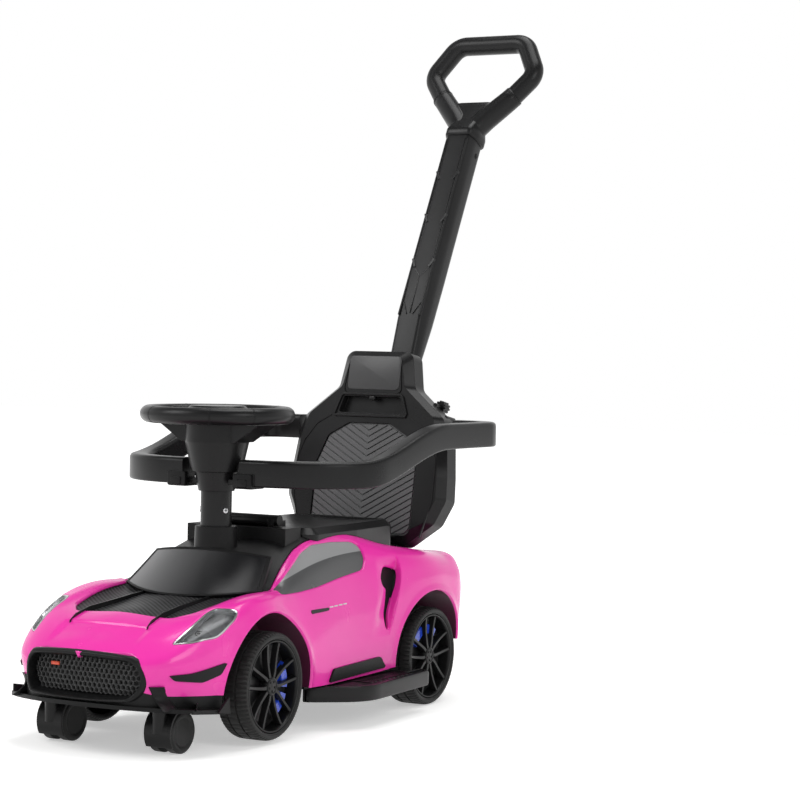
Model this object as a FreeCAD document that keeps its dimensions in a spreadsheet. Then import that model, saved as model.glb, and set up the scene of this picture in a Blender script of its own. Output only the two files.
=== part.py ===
import FreeCAD, Part
import Sketcher
import math
import os
import re

# Child's push car: X is across (left side positive), Y runs from nose to tail, Z is up from the floor.
# The layout counts Y from the front axle; the finished pieces are then moved so that the origin lies
# under the middle of the whole car.

V = FreeCAD.Vector
up = V(0, 0, 1)
across = V(1, 0, 0)
along = V(0, 1, 0)

driving_sizes = {
    # wheels and axles
    "wheel_radius": 65, "tyre_width": 44, "tyre_shoulder": 6, "tyre_bulge": 2.5, "tread_groove": 3,
    "tread_groove_depth": 2.2, "tread_groove_place": 7, "rim_radius": 55, "rim_wall": 3.5,
    "rim_back": 15, "rim_lip": 2, "hub_radius": 10, "hub_back": 12, "hub_cap": 4, "web_thickness": 3,
    "spoke_thickness": 6, "spoke_set_back": 3, "spoke_root_half": 5, "spoke_tip_half": 17,
    "spoke_arm_width": 5.5, "spoke_fork_radius": 24, "spoke_overlap": 1.5, "disc_radius": 44,
    "disc_thickness": 4, "caliper_inner": 26, "caliper_outer": 42, "caliper_thickness": 5,
    "caliper_half": 15, "wheel_face": 146, "wheelbase": 385, "front_lift": 4, "axle_radius": 5,
    "running_clearance": 0.08, "seat_clearance": 0.2, "tyre_clearance": 0.45, "part_clearance": 0.3,
    # front casters
    "caster_radius": 25, "caster_wheel_width": 15, "caster_gap": 12, "caster_trail": 22,
    "caster_place_across": 78, "caster_place_ahead": 139, "caster_stem_radius": 5,
    "caster_stem_rise": 20, "caster_hood_wall": 2.6, "caster_axle_radius": 3, "caster_wheel_bevel": 3,
    "caster_neck_radius": 9, "caster_hood_gap": 0.8, "caster_sweep": 53,
    # body shell
    "body_length": 678, "nose_reach": 188, "body_half_width": 146, "body_height": 232, "shell_wall": 3,
    "arch_radius": 87, "fender_reach": 93, "fender_top": 168, "arch_depth": 79, "liner_low": 92,
    "trim_depth": 2.5, "trim_proud": 0.4, "lamp_depth": 11, "lens_thickness": 2, "overrun": 60,
    "trim_reach": 90, "shell_drop": 50,
    # grille and splitter
    "grille_half_width": 81, "grille_half_height": 26, "grille_height": 92, "grille_border": 6,
    "grille_set_back": 20, "grille_frame_depth": 21, "mesh_thickness": 3, "mesh_cell": 9,
    "mesh_bar": 1.7, "splitter_reach": 201, "splitter_tip_across": 131, "splitter_tip_ahead": 150,
    "splitter_end_across": 139, "splitter_end_ahead": 82, "splitter_thickness": 5, "splitter_low": 46,
    "splitter_rise": 12, "fascia_top": 82, "fascia_wall": 3, "winglet_height": 24, "winglet_length": 26,
    "vane_thickness": 3,
    # floor pan and steering gear
    "pan_low": 54, "rest_pad_half": 48, "rest_pad_front": 150, "rest_pad_rear": 246, "rest_pad_drop": 2,
    "pan_thickness": 4, "pan_half_width": 132, "pan_waist": 72, "pan_front": 152, "pan_rear": 470,
    "pan_rear_half": 92, "pan_rib_height": 12, "pan_rib_wall": 3, "kingpin_place": 85,
    "kingpin_radius": 4, "knuckle_radius": 9, "knuckle_half_height": 10.7, "ear_thickness": 5,
    "ear_radius": 11, "ear_web": 8, "steer_arm_length": 45, "steer_arm_width": 10,
    "steer_arm_thickness": 5, "steer_pin_radius": 3, "tie_rod_width": 14, "tie_rod_thickness": 5,
    "tie_rod_overhang": 9, "tie_lug_half": 12, "tie_slot_side": 0.45, "tie_slot_end": 4.5,
    "crank_length": 27, "stub_shoulder": 8, "axle_block_half": 9, "axle_block_place": 60,
    "axle_block_wall": 10,
    # steering column
    "column_place": 85, "tube_radius": 19.5, "tube_bore": 17, "tube_low": 192, "tube_top": 301,
    "boss_radius": 26, "boss_top": 248, "boss_wall_low": 2, "shaft_radius": 7, "shaft_top": 345,
    "bush_height": 10, "collar_low": 292, "collar_top": 316, "collar_low_radius": 22.5,
    "collar_top_radius": 28, "bracket_half": 76, "bracket_depth": 18, "bracket_thickness": 6,
    "peg_place": 54, "peg_radius": 4, "peg_height": 23,
    # steering wheel
    "steer_rim_radius": 86, "steer_rim_tube": 10.5, "steer_height": 387, "hub_low_radius": 32,
    "hub_top_radius": 40, "hub_cone_top": 353, "spoke_half_depth": 21, "pad_radius": 40, "pad_dome": 6,
    "steer_spoke_top": 392, "button_place": 61, "button_radius": 8, "button_height": 8,
    "button_proud": 4, "button_travel": 2,
    # seat, hinge and storage tub
    "tub_half_width": 70, "tub_front": 188, "tub_rear": 386, "tub_floor": 84, "tub_wall": 2.5,
    "seat_front": 171, "seat_rear": 399, "seat_half_width": 86, "seat_rear_half": 78, "seat_top": 243,
    "seat_bevel": 8, "seat_wall": 4, "seat_corner": 20, "seat_low": 195, "seat_dish_radius": 620,
    "seat_dish_depth": 4, "seat_notch_radius": 13, "hinge_place": 152, "hinge_height": 253,
    "hinge_rod_radius": 4, "hinge_sleeve_radius": 7, "hinge_sleeve_half": 38, "hinge_lug": 8,
    "hinge_cap": 5, "platform_half": 74, "platform_front": 130, "platform_rear": 166,
    "platform_top": 245, "hinge_arm_thickness": 5,
    # backrest
    "back_lean": 9.8, "back_foot_place": 430, "back_foot_height": 204, "back_thickness": 43,
    "back_wall": 3.5, "back_height": 268, "back_half_width": 126, "back_bevel": 11,
    "back_rear_bevel": 7, "back_corner": 14, "panel_recess": 6, "panel_base": 3, "panel_rib": 2,
    "panel_rib_pitch": 9, "panel_rib_width": 7, "panel_rib_drop": 46, "panel_half": 80,
    "panel_bottom": 14, "panel_top": 166, "slot_bottom": 180, "slot_top": 203, "slot_half": 52,
    "slot_depth": 12, "head_groove": 1.6, "head_groove_depth": 1.5, "cover_thickness": 3,
    "cover_inset": 4, "pedestal_half": 60, "pedestal_depth": 24, "knob_place_across": 84,
    "knob_place_up": 198, "knob_radius": 8.5, "knob_height": 14, "knob_flute": 1.5, "knob_spindle": 3,
    "latch_peg_radius": 4, "latch_peg_length": 9, "latch_peg_across": 102, "latch_peg_up": 180,
    # guard rail
    "guard_half_width": 184, "guard_front_start": 41, "guard_front": 83, "guard_corner_front": 95,
    "guard_rear": 484, "guard_front_bend": 86, "guard_rear_bend": 34, "guard_width": 25,
    "guard_height": 33, "guard_low": 299, "guard_rise": 43, "guard_rise_start": 150,
    "guard_rise_end": 345, "guard_edge": 4, "guard_end_across": 96,
    # push handle
    "handle_lean": 27.3, "stem_top_place": 718, "stem_top_height": 762, "stem_length": 486,
    "stem_width": 46, "stem_depth": 30, "stem_taper": 3, "stem_corner": 9, "stem_groove": 2,
    "stem_groove_depth": 1.6, "stem_groove_inset": 7, "socket_wall": 4, "socket_length": 118,
    "collar_height": 22, "collar_wall": 4, "grip_tube": 14, "grip_top": 182, "grip_top_half": 56,
    "grip_side": 86, "grip_side_height": 127, "grip_end_across": 59, "grip_end_height": 90,
    "grip_bend": 24, "yoke_arm_radius": 16.5, "yoke_arm_start": 12, "yoke_root_height": 34,
    "yoke_web": 16, "yoke_web_top": 86, "yoke_web_half": 34, "snap_radius": 4.5, "snap_length": 12,
    "snap_proud": 3, "snap_down": 12,
    # footrests
    "foot_front": 108, "foot_rear": 312, "foot_rear_outer": 338, "foot_reach": 52,
    "foot_reach_rear": 36, "foot_hook": 24, "foot_notch": 18, "foot_thickness": 20, "foot_wall": 3,
    "foot_corner": 24, "foot_slot_width": 7, "foot_slot_pitch": 18, "foot_slot_count": 5,
    "foot_slot_inset": 9, "foot_slot_start": 228,
}

# Body sections from nose to tail: place, then half width and height of the sill, the widest line,
# the shoulder and the roof rail, and last the height of the middle
body_section_shares = (
    (0.000, 0.400, 0.325, 0.455, 0.405, 0.390, 0.483, 0.200, 0.504, 0.509),
    (0.018, 0.575, 0.318, 0.620, 0.400, 0.545, 0.502, 0.290, 0.534, 0.543),
    (0.056, 0.740, 0.310, 0.778, 0.402, 0.672, 0.562, 0.380, 0.599, 0.612),
    (0.112, 0.850, 0.300, 0.882, 0.412, 0.772, 0.640, 0.470, 0.664, 0.677),
    (0.189, 0.930, 0.288, 0.955, 0.448, 0.838, 0.710, 0.548, 0.707, 0.716),
    (0.260, 0.964, 0.276, 0.991, 0.472, 0.852, 0.745, 0.610, 0.733, 0.742),
    (0.300, 0.966, 0.272, 0.990, 0.475, 0.842, 0.752, 0.665, 0.742, 0.765),
    (0.336, 0.966, 0.263, 0.979, 0.474, 0.826, 0.752, 0.710, 0.756, 0.868),
    (0.361, 0.963, 0.256, 0.976, 0.470, 0.816, 0.756, 0.695, 0.782, 0.938),
    (0.388, 0.959, 0.250, 0.973, 0.466, 0.808, 0.764, 0.671, 0.825, 0.957),
    (0.440, 0.952, 0.241, 0.966, 0.457, 0.808, 0.780, 0.616, 0.900, 0.974),
    (0.543, 0.945, 0.241, 0.959, 0.453, 0.815, 0.793, 0.580, 0.976, 1.000),
    (0.646, 0.945, 0.246, 0.959, 0.466, 0.836, 0.812, 0.622, 0.982, 0.995),
    (0.720, 0.952, 0.259, 0.973, 0.491, 0.877, 0.838, 0.640, 0.951, 0.958),
    (0.786, 0.959, 0.284, 0.993, 0.513, 0.897, 0.858, 0.620, 0.918, 0.922),
    (0.845, 0.959, 0.302, 1.000, 0.517, 0.890, 0.858, 0.585, 0.890, 0.890),
    (0.926, 0.945, 0.328, 0.979, 0.526, 0.856, 0.832, 0.540, 0.852, 0.852),
    (0.982, 0.904, 0.341, 0.932, 0.526, 0.815, 0.805, 0.515, 0.824, 0.824),
    (1.000, 0.849, 0.353, 0.877, 0.526, 0.774, 0.780, 0.495, 0.802, 0.802),
)
section_knot_shares = (0, 0.09, 0.24, 0.32, 0.5, 0.68, 0.76, 0.91, 1)

# Outlines of what is set into the shell, as shares of the body's length, half width and height
deck_outline_shares = ((0.304, 0.200), (0.316, 0.450), (0.335, 0.727), (0.404, 0.641), (0.476, 0.561),
                       (0.520, 0.540),
                       (0.569, 0.550), (0.690, 0.570), (0.800, 0.530), (0.965, 0.500))
windscreen_outline_shares = ((0.308, 0.200), (0.320, 0.430), (0.338, 0.660), (0.398, 0.520), (0.366, 0.220))
hood_outline_shares = ((0.118, 0.470), (0.150, 0.585), (0.215, 0.640), (0.328, 0.700), (0.309, 0.450),
                       (0.299, 0.200))
blade_outline_shares = ((0.078, 0.400), (0.080, 0.362), (0.282, 0.322), (0.280, 0.360))
window_outline_shares = ((0.341, 0.751), (0.417, 0.847), (0.488, 0.932), (0.534, 0.966), (0.593, 0.972),
                         (0.652, 0.962),
                         (0.664, 0.940), (0.657, 0.871), (0.637, 0.818), (0.551, 0.789), (0.472, 0.760),
                         (0.390, 0.746))
intake_outline_shares = ((0.709, 0.831), (0.738, 0.822), (0.736, 0.794), (0.725, 0.714), (0.713, 0.633),
                         (0.699, 0.536),
                         (0.692, 0.474), (0.683, 0.476), (0.685, 0.572), (0.690, 0.654), (0.694, 0.707),
                         (0.680, 0.722),
                         (0.679, 0.763), (0.694, 0.809))
skirt_outline_shares = ((0.473, 0.266), (0.487, 0.318), (0.657, 0.333), (0.678, 0.290))
canard_outline_shares = ((0.037, 0.418), (0.074, 0.423), (0.148, 0.461), (0.135, 0.403), (0.096, 0.372),
                         (0.046, 0.391))
lamp_outline_shares = ((0.057, 0.678, 0.562), (0.108, 0.712, 0.646), (0.153, 0.710, 0.694),
                       (0.173, 0.733, 0.708),
                       (0.190, 0.855, 0.706), (0.178, 0.907, 0.666), (0.126, 0.891, 0.585),
                       (0.082, 0.798, 0.568))
tail_outline_shares = ((0.45, 0.70), (0.80, 0.72), (0.80, 0.66), (0.45, 0.64))

# Backrest outline as shares of its half width and height, from the foot up
back_outline_shares = ((0.54, 0.0), (0.88, 0.12), (1.0, 0.24), (0.985, 0.36), (0.94, 0.55), (0.87, 0.66),
                       (0.48, 0.81),
                       (0.41, 1.0))
panel_outline_shares = ((1.0, 0.0), (1.0, 0.62), (0.80, 0.88), (0.40, 1.0))
head_outline_shares = ((0.36, 0.775), (0.31, 0.965))

wheel_corners = (("front_left", 1, 0), ("front_right", -1, 0), ("rear_left", 1, 1), ("rear_right", -1, 1))
sides = (("left", 1), ("right", -1))
spoke_count = 5
guard_steps = 10
bend_steps = 8
mesh_columns_share = 0.5

doc = FreeCAD.newDocument("push_car")
sheet = doc.addObject("Spreadsheet::Sheet", "sizes")
for row, (alias, number) in enumerate(driving_sizes.items(), 1):
    sheet.set("A%d" % row, alias)
    sheet.set("B%d" % row, str(number))
    sheet.setAlias("B%d" % row, alias)
doc.recompute()
pieces = []


# Sheet values and expressions

def value(text):
    return float(sheet.evalExpression(text))


def bind(text):
    return re.sub(r"[a-z]\w*", lambda word: "sizes." + word.group(0), text)


def add_piece(piece, label):
    piece.Label = label
    pieces.append(piece)
    return piece


def add_shape(label, shape):
    piece = doc.addObject("Part::Feature", label)
    piece.Shape = shape
    return add_piece(piece, label)


def new_body(label):
    return add_piece(doc.addObject("PartDesign::Body", label), label)


def origin_item(body, role):
    return [item for item in body.Origin.OriginFeatures if item.Role == role][0]


def new_sketch(body, plane, lift="0"):
    sketch = body.newObject("Sketcher::SketchObject", body.Label + "_sketch")
    sketch.AttachmentSupport = [(origin_item(body, plane), "")]
    sketch.MapMode = "FlatFace"
    sketch.setExpression("AttachmentOffset.Base.z", bind(lift))
    return sketch


def bound_constraint(sketch, kind, geometry, point, text):
    if point is None:
        number = sketch.addConstraint(Sketcher.Constraint(kind, geometry, value(text)))
    else:
        number = sketch.addConstraint(Sketcher.Constraint(kind, -1, 1, geometry, point, value(text)))
    sketch.setExpression("Constraints[%d]" % number, bind(text))


# A closed loop of straight lines whose corners are bound to the sheet
def add_loop(sketch, corners):
    first = sketch.GeometryCount
    spots = [V(value(a), value(b), 0) for a, b in corners]
    count = len(spots)
    for i, spot in enumerate(spots):
        sketch.addGeometry(Part.LineSegment(spot, spots[(i + 1) % count]))
    for i in range(count):
        sketch.addConstraint(Sketcher.Constraint("Coincident", first + i, 2, first + (i + 1) % count, 1))
    for i, (a, b) in enumerate(corners):
        bound_constraint(sketch, "DistanceX", first + i, 1, a)
        bound_constraint(sketch, "DistanceY", first + i, 1, b)


def add_circle(sketch, radius, place_a="0", place_b="0"):
    spot = V(value(place_a), value(place_b), 0)
    geometry = sketch.addGeometry(Part.Circle(spot, up, value(radius)))
    bound_constraint(sketch, "Radius", geometry, None, radius)
    bound_constraint(sketch, "DistanceX", geometry, 3, place_a)
    bound_constraint(sketch, "DistanceY", geometry, 3, place_b)


def add_pad(body, sketch, length, kind="PartDesign::Pad", both=False):
    pad = body.newObject(kind, body.Label + "_pad")
    pad.Profile = sketch
    pad.setExpression("Length", bind(length))
    pad.Midplane = both
    return pad


def add_revolution(body, sketch, axis="H_Axis"):
    turned = body.newObject("PartDesign::Revolution", body.Label + "_turned")
    turned.Profile = sketch
    turned.ReferenceAxis = (sketch, [axis])
    turned.Angle = 360
    return turned


def add_polar(body, feature, role, count):
    pattern = body.newObject("PartDesign::PolarPattern", body.Label + "_pattern")
    pattern.Originals = [feature]
    pattern.Axis = (origin_item(body, role), [""])
    pattern.Angle = 360
    pattern.Occurrences = count
    body.Tip = pattern
    return pattern


# Part primitives bound to the sheet, given by their middle or foot

def bound_cylinder(label, radius, height, place, axis=up):
    solid = doc.addObject("Part::Cylinder", label)
    solid.setExpression("Radius", bind(radius))
    solid.setExpression("Height", bind(height))
    solid.Placement.Rotation = FreeCAD.Rotation(up, axis)
    for name, text in zip("xyz", place):
        solid.setExpression("Placement.Base." + name, bind(text))
    return solid


def bound_box(label, lengths, place):
    solid = doc.addObject("Part::Box", label)
    for name, text in zip(("Length", "Width", "Height"), lengths):
        solid.setExpression(name, bind(text))
    for name, text in zip("xyz", place):
        solid.setExpression("Placement.Base." + name, bind(text))
    return solid


def bound_fuse(label, solids):
    joined = doc.addObject("Part::MultiFuse", label)
    joined.Shapes = solids
    joined.Refine = True
    return joined


# Free shapes

def box(x0, x1, y0, y1, z0, z1):
    return Part.makeBox(x1 - x0, y1 - y0, z1 - z0, V(x0, y0, z0))


def mirrored(shape):
    return shape.mirror(V(0, 0, 0), across)


def corner_arcs(points, radius, closed):
    corners = []
    for i, here in enumerate(points):
        if radius == 0 or (not closed and i in (0, len(points) - 1)):
            corners.append((here, None, here))
            continue
        back = (points[i - 1] - here).normalize()
        ahead = (points[(i + 1) % len(points)] - here).normalize()
        half = back.getAngle(ahead) / 2
        bisector = (back + ahead).normalize()
        shorter = min((points[i - 1] - here).Length, (points[(i + 1) % len(points)] - here).Length)
        bend = min(radius, shorter * corner_room_share * math.tan(half))
        reach = bend / math.tan(half)
        centre = here + bisector * (bend / math.sin(half))
        corners.append((here + back * reach, centre - bisector * bend, here + ahead * reach))
    return corners


corner_room_share = 0.45


# A wire through points with every corner rounded
def rounded(points, radius, closed=True):
    corners = corner_arcs(points, radius, closed)
    edges = []
    for i, (start, middle, end) in enumerate(corners):
        if middle:
            edges.append(Part.Arc(start, middle, end).toShape())
        if closed or i < len(corners) - 1:
            edges.append(Part.LineSegment(end, corners[(i + 1) % len(corners)][0]).toShape())
    return Part.Wire(edges)


# A straight prism whose outline passes through points, run both ways along a direction
def prism(points, direction, reach, radius=0, margin=0):
    normal = V(direction).normalize()
    middle = V(0, 0, 0)
    for point in points:
        middle = middle + point * (1 / len(points))
    flat = [point - normal * ((point - middle).dot(normal)) for point in points]
    face = Part.Face(rounded(flat, radius))
    if margin:
        face = face.makeOffset2D(margin)
    face.translate(normal * -reach)
    return face.extrude(normal * (2 * reach))


def both_sides(half):
    return half + [V(-point.x, point.y, point.z) for point in reversed(half)]


def body_place(share):
    return share * sheet.body_length - sheet.nose_reach


# The body's outer form, moved outwards by outset; drop lowers its open underside
def skin(outset, drop=0):
    wires = []
    last = len(body_section_shares) - 1
    for index, row in enumerate(body_section_shares):
        place = body_place(row[0]) - outset * (index == 0) + outset * (index == last)
        wide = [share * sheet.body_half_width for share in row[1:9:2]]
        high = [share * sheet.body_height for share in row[2:9:2]]
        half = [V(wide[0] + outset, place, high[0] - drop), V(wide[1] + outset, place, high[1]),
                V(wide[2] + outset * math.sqrt(0.5), place, high[2] + outset * math.sqrt(0.5)),
                V(wide[3], place, high[3] + outset)]
        crown = V(0, place, row[9] * sheet.body_height + outset)
        points = half + [crown] + [V(-point.x, place, point.z) for point in reversed(half)]
        curve = Part.BSplineCurve()
        curve.interpolate(Points=points, Parameters=list(section_knot_shares))
        wires.append(Part.Wire([curve.toShape(), Part.LineSegment(points[-1], points[0]).toShape()]))
    return Part.makeLoft(wires, True, False)


outer_skin = skin(0)
trim_skin = skin(-sheet.trim_depth)
seat_skin = skin(sheet.part_clearance - sheet.trim_depth)
proud_skin = skin(sheet.trim_proud)
inner_skin = skin(-sheet.shell_wall)
cavity_skin = skin(-sheet.shell_wall, sheet.shell_drop)
lamp_skin = skin(-sheet.lamp_depth)
lens_skin = skin(-sheet.lens_thickness)


# Trim panels: a prism cut from the layer between two skins, and the bite that it leaves in the shell

def plan_points(shares, height):
    return [V(b * sheet.body_half_width, body_place(a), height) for a, b in shares]


def side_points(shares):
    return [V(sheet.body_half_width, body_place(a), b * sheet.body_height) for a, b in shares]


def trim(points, direction, radius, outside=None, inside=None):
    layer = (outside or proud_skin).cut(inside or seat_skin)
    return prism(points, direction, sheet.trim_reach, radius).common(layer)


def trim_bite(points, direction, radius, floor=None):
    return prism(points, direction, sheet.trim_reach, radius, sheet.part_clearance).cut(floor or trim_skin)


trim_corner = sheet.trim_depth * 2
top = sheet.body_height
window_points = side_points(window_outline_shares)
intake_points = side_points(intake_outline_shares)
skirt_points = side_points(skirt_outline_shares)
canard_points = side_points(canard_outline_shares)
hood_points = both_sides(plan_points(hood_outline_shares, top))
blade_points = plan_points(blade_outline_shares, top)
windscreen_points = both_sides(plan_points(windscreen_outline_shares, top))
deck_points = both_sides(plan_points(deck_outline_shares, top))
lamp_points = [V(b * sheet.body_half_width, body_place(a), c * sheet.body_height) for a, b,
               c in lamp_outline_shares]
lamp_facing = V(0.62, -0.42, 0.66)
tail_points = [V(a * sheet.body_half_width, body_place(1), b * sheet.body_height) for a,
               b in tail_outline_shares]


def side_trim(label, points, radius):
    left = trim(points, across, radius)
    return add_shape(label, Part.makeCompound([left, mirrored(left)]))


def grille_oval(margin):
    half_wide = sheet.grille_half_width + margin
    half_high = sheet.grille_half_height + margin
    corners = [V(sign_x * half_wide, 0, sheet.grille_height + sign_z * half_high)
               for sign_x, sign_z in ((1, 1), (-1, 1), (-1, -1), (1, -1))]
    oval = Part.Face(rounded(corners, half_high))
    oval.translate(V(0, -sheet.nose_reach - sheet.overrun, 0))
    return oval.extrude(along * (sheet.overrun + sheet.splitter_end_ahead))


def arch_cylinder(place, height):
    cylinder = Part.makeCylinder(sheet.arch_radius, sheet.overrun * 2, V(sheet.arch_depth, place, height),
                                 across)
    return [cylinder, mirrored(cylinder)]


front_axle_height = sheet.wheel_radius + sheet.front_lift


# A wheel arch's liner: a band behind the shell and an inner wall above the running gear
def arch_liner(place, height):
    wall = sheet.shell_wall
    start = V(sheet.arch_depth - wall, place, height)
    liner = Part.makeCylinder(sheet.arch_radius + wall, sheet.overrun * 2, start, across)
    liner = liner.cut(Part.makeCylinder(sheet.arch_radius, sheet.overrun * 2, start + across * wall,
                                        across))
    liner = liner.common(outer_skin).cut(box(0, top, place - top, place + top, 0, sheet.liner_low))
    return [liner, mirrored(liner)]


def make_body_shell():
    side_bites = [trim_bite(window_points, across, trim_corner),
                  trim_bite(intake_points, across, sheet.trim_depth),
                  trim_bite(skirt_points, across, sheet.trim_depth),
                  trim_bite(canard_points, across, sheet.trim_depth),
                  trim_bite(lamp_points, lamp_facing, trim_corner, lamp_skin),
                  trim_bite(tail_points, along, sheet.trim_depth), trim_bite(blade_points, up, 0)]
    bites = side_bites + [mirrored(bite) for bite in side_bites] + [trim_bite(hood_points, up, trim_corner)]
    bites.append(prism(deck_points, up, sheet.trim_reach, trim_corner))
    bites.append(grille_oval(0).common(box(-top, top, -top, -sheet.splitter_end_ahead, 0, top)))
    bites += arch_cylinder(0, front_axle_height) + arch_cylinder(sheet.wheelbase, sheet.wheel_radius)
    lamp_back = skin(-sheet.lamp_depth - sheet.shell_wall)
    lamp_pocket = prism(lamp_points, lamp_facing, sheet.trim_reach, trim_corner, sheet.shell_wall)
    lamp_pocket = lamp_pocket.common(outer_skin).cut(lamp_back)
    trim_back = skin(-sheet.trim_depth - sheet.shell_wall)
    trim_backs = []
    for points, facing in ((window_points, across), (hood_points, up), (skirt_points, across),
                           (intake_points, across),
                           (canard_points, across), (tail_points, along), (blade_points, up)):
        backed = prism(points, facing, sheet.trim_reach, 0,
                       sheet.shell_wall).common(outer_skin).cut(trim_back)
        trim_backs += [backed, mirrored(backed)]
    shell = outer_skin.cut(cavity_skin)
    liners = arch_liner(0, front_axle_height) + arch_liner(sheet.wheelbase, sheet.wheel_radius)
    shell = shell.fuse([lamp_pocket, mirrored(lamp_pocket)] + trim_backs + liners)
    whole = shell.cut(bites)
    reach = sheet.fender_reach
    room = box(sheet.arch_depth - sheet.shell_wall, sheet.body_half_width * 2, -reach, reach, 0,
               sheet.fender_top)
    fender = whole.common(room)
    add_shape("body_shell", whole.cut([room, mirrored(room)]))
    add_shape("front_fender_left", fender)
    add_shape("front_fender_right", mirrored(fender))


def make_trims():
    window = trim(window_points, across, trim_corner)
    add_shape("side_window_left", window)
    add_shape("side_window_right", mirrored(window))
    side_trim("side_intakes", intake_points, sheet.trim_depth)
    side_trim("side_skirts", skirt_points, sheet.trim_depth)
    side_trim("canards", canard_points, sheet.trim_depth)
    tail = trim(tail_points, along, sheet.trim_depth)
    add_shape("tail_lamps", Part.makeCompound([tail, mirrored(tail)]))
    blade_room = prism(blade_points, up, sheet.trim_reach, 0, sheet.part_clearance)
    hood = trim(hood_points, up, trim_corner).cut([blade_room, mirrored(blade_room)])
    add_shape("hood_panel", hood)
    blade = trim(blade_points, up, 0, skin(sheet.trim_depth))
    add_shape("hood_blades", Part.makeCompound([blade, mirrored(blade)]))
    lens = trim(lamp_points, lamp_facing, trim_corner, outer_skin, lens_skin)
    bowl_prism = prism(lamp_points, lamp_facing, sheet.trim_reach, trim_corner)
    bowl_layer = skin(-sheet.lens_thickness - sheet.part_clearance)
    bowl_layer = bowl_layer.cut(skin(sheet.part_clearance - sheet.lamp_depth))
    bowl = bowl_prism.common(bowl_layer)
    add_shape("headlight_lens_left", lens)
    add_shape("headlight_lens_right", mirrored(lens))
    add_shape("headlight_bowls", Part.makeCompound([bowl, mirrored(bowl)]))
    boss_room = Part.makeCylinder(sheet.boss_radius + sheet.boss_wall_low + sheet.part_clearance, top,
                                  V(0, sheet.column_place, 0))
    add_shape("windscreen", trim(windscreen_points, up, trim_corner).cut(boss_room))


def make_top_deck():
    room = prism(deck_points, up, sheet.trim_reach, trim_corner, -sheet.part_clearance)
    deck = room.common(outer_skin.cut(skin(-sheet.shell_wall - sheet.trim_depth)))
    deck = deck.cut(trim_bite(windscreen_points, up, trim_corner))
    tub = box(-sheet.tub_half_width - sheet.tub_wall, sheet.tub_half_width + sheet.tub_wall,
              sheet.tub_front - sheet.tub_wall, sheet.tub_rear + sheet.tub_wall, sheet.tub_floor, top)
    tub = tub.common(skin(-sheet.trim_depth, sheet.shell_drop))
    hollow = box(-sheet.tub_half_width, sheet.tub_half_width, sheet.tub_front, sheet.tub_rear,
                 sheet.tub_floor + sheet.tub_wall, top + sheet.overrun)
    foot = sheet.tube_low
    column = V(0, sheet.column_place, foot)
    boss = Part.makeCone(sheet.boss_radius + sheet.boss_wall_low, sheet.boss_radius, sheet.boss_top - foot,
                         column)
    platform_top = sheet.platform_top
    platform = box(-sheet.platform_half, sheet.platform_half, sheet.platform_front, sheet.platform_rear,
                   foot, platform_top)
    platform = platform.cut(inner_skin)
    axis_low = V(sheet.hinge_sleeve_half + sheet.part_clearance, sheet.hinge_place, sheet.hinge_height)
    lug = Part.makeCylinder(sheet.hinge_sleeve_radius, sheet.hinge_lug, axis_low, across)
    lug = lug.fuse(box(axis_low.x, axis_low.x + sheet.hinge_lug, axis_low.y - sheet.hinge_sleeve_radius,
                       axis_low.y + sheet.hinge_sleeve_radius, platform_top, axis_low.z))
    lug = lug.cut(Part.makeCylinder(sheet.hinge_rod_radius, sheet.overrun, V(0, axis_low.y, axis_low.z),
                                    across))
    pedestal = box(-sheet.pedestal_half, sheet.pedestal_half, sheet.back_foot_place + sheet.back_wall,
                   sheet.back_foot_place + sheet.pedestal_depth + sheet.back_wall,
                   foot - sheet.pedestal_depth,
                   sheet.back_foot_height)
    deck = deck.fuse([tub, boss, platform, lug, mirrored(lug), pedestal])
    deck = deck.cut([hollow, Part.makeCylinder(sheet.tube_radius, sheet.overrun * 2, column, up),
                     lean_back(back_block(sheet.seat_clearance))])
    add_shape("top_deck", deck)


def make_grille():
    layer = skin(sheet.trim_depth / 2).cut(skin(-sheet.grille_frame_depth))
    ring = grille_oval(-sheet.part_clearance).cut(grille_oval(-sheet.grille_border))
    frame = ring.common(layer)
    frame = frame.common(box(-top, top, -top, -sheet.splitter_end_ahead, 0, top))
    sockets = [Part.makeCylinder(sheet.caster_stem_radius * 2 + sheet.part_clearance, top,
                                 V(sign * sheet.caster_place_across, -sheet.caster_place_ahead, 0))
               for _, sign in sides]
    add_shape("grille_frame", frame.cut(sockets))
    plate = grille_oval(-sheet.grille_border - sheet.part_clearance)
    back = sheet.grille_set_back - sheet.nose_reach
    plate = plate.common(box(-top, top, back, back + sheet.mesh_thickness, 0, top))
    cell_radius = sheet.mesh_cell / math.sqrt(3)
    row_pitch = (sheet.mesh_cell + sheet.mesh_bar) * math.sqrt(3) / 2
    column_pitch = sheet.mesh_cell + sheet.mesh_bar
    rows = int(sheet.grille_half_height / row_pitch)
    columns = int(sheet.grille_half_width / column_pitch)
    cells = []
    limit_x = sheet.grille_half_width - sheet.grille_border - cell_radius
    limit_z = sheet.grille_half_height - sheet.grille_border - cell_radius
    round_x = limit_x - limit_z
    for row in range(-rows, rows + 1):
        for column in range(-columns, columns + 1):
            x = (column + (row % 2) * mesh_columns_share) * column_pitch
            z = row * row_pitch
            if math.hypot(max(abs(x) - round_x, 0), z) > limit_z:
                continue
            corners = []
            for turn in range(6):
                angle = math.radians(60 * turn)
                corners.append(V(x + cell_radius * math.sin(angle), back - sheet.mesh_thickness,
                                 sheet.grille_height + z + cell_radius * math.cos(angle)))
            cells.append(Part.Face(rounded(corners, 0)).extrude(along * (sheet.mesh_thickness * 3)))
    add_shape("grille_mesh", plate.cut(cells))


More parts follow.
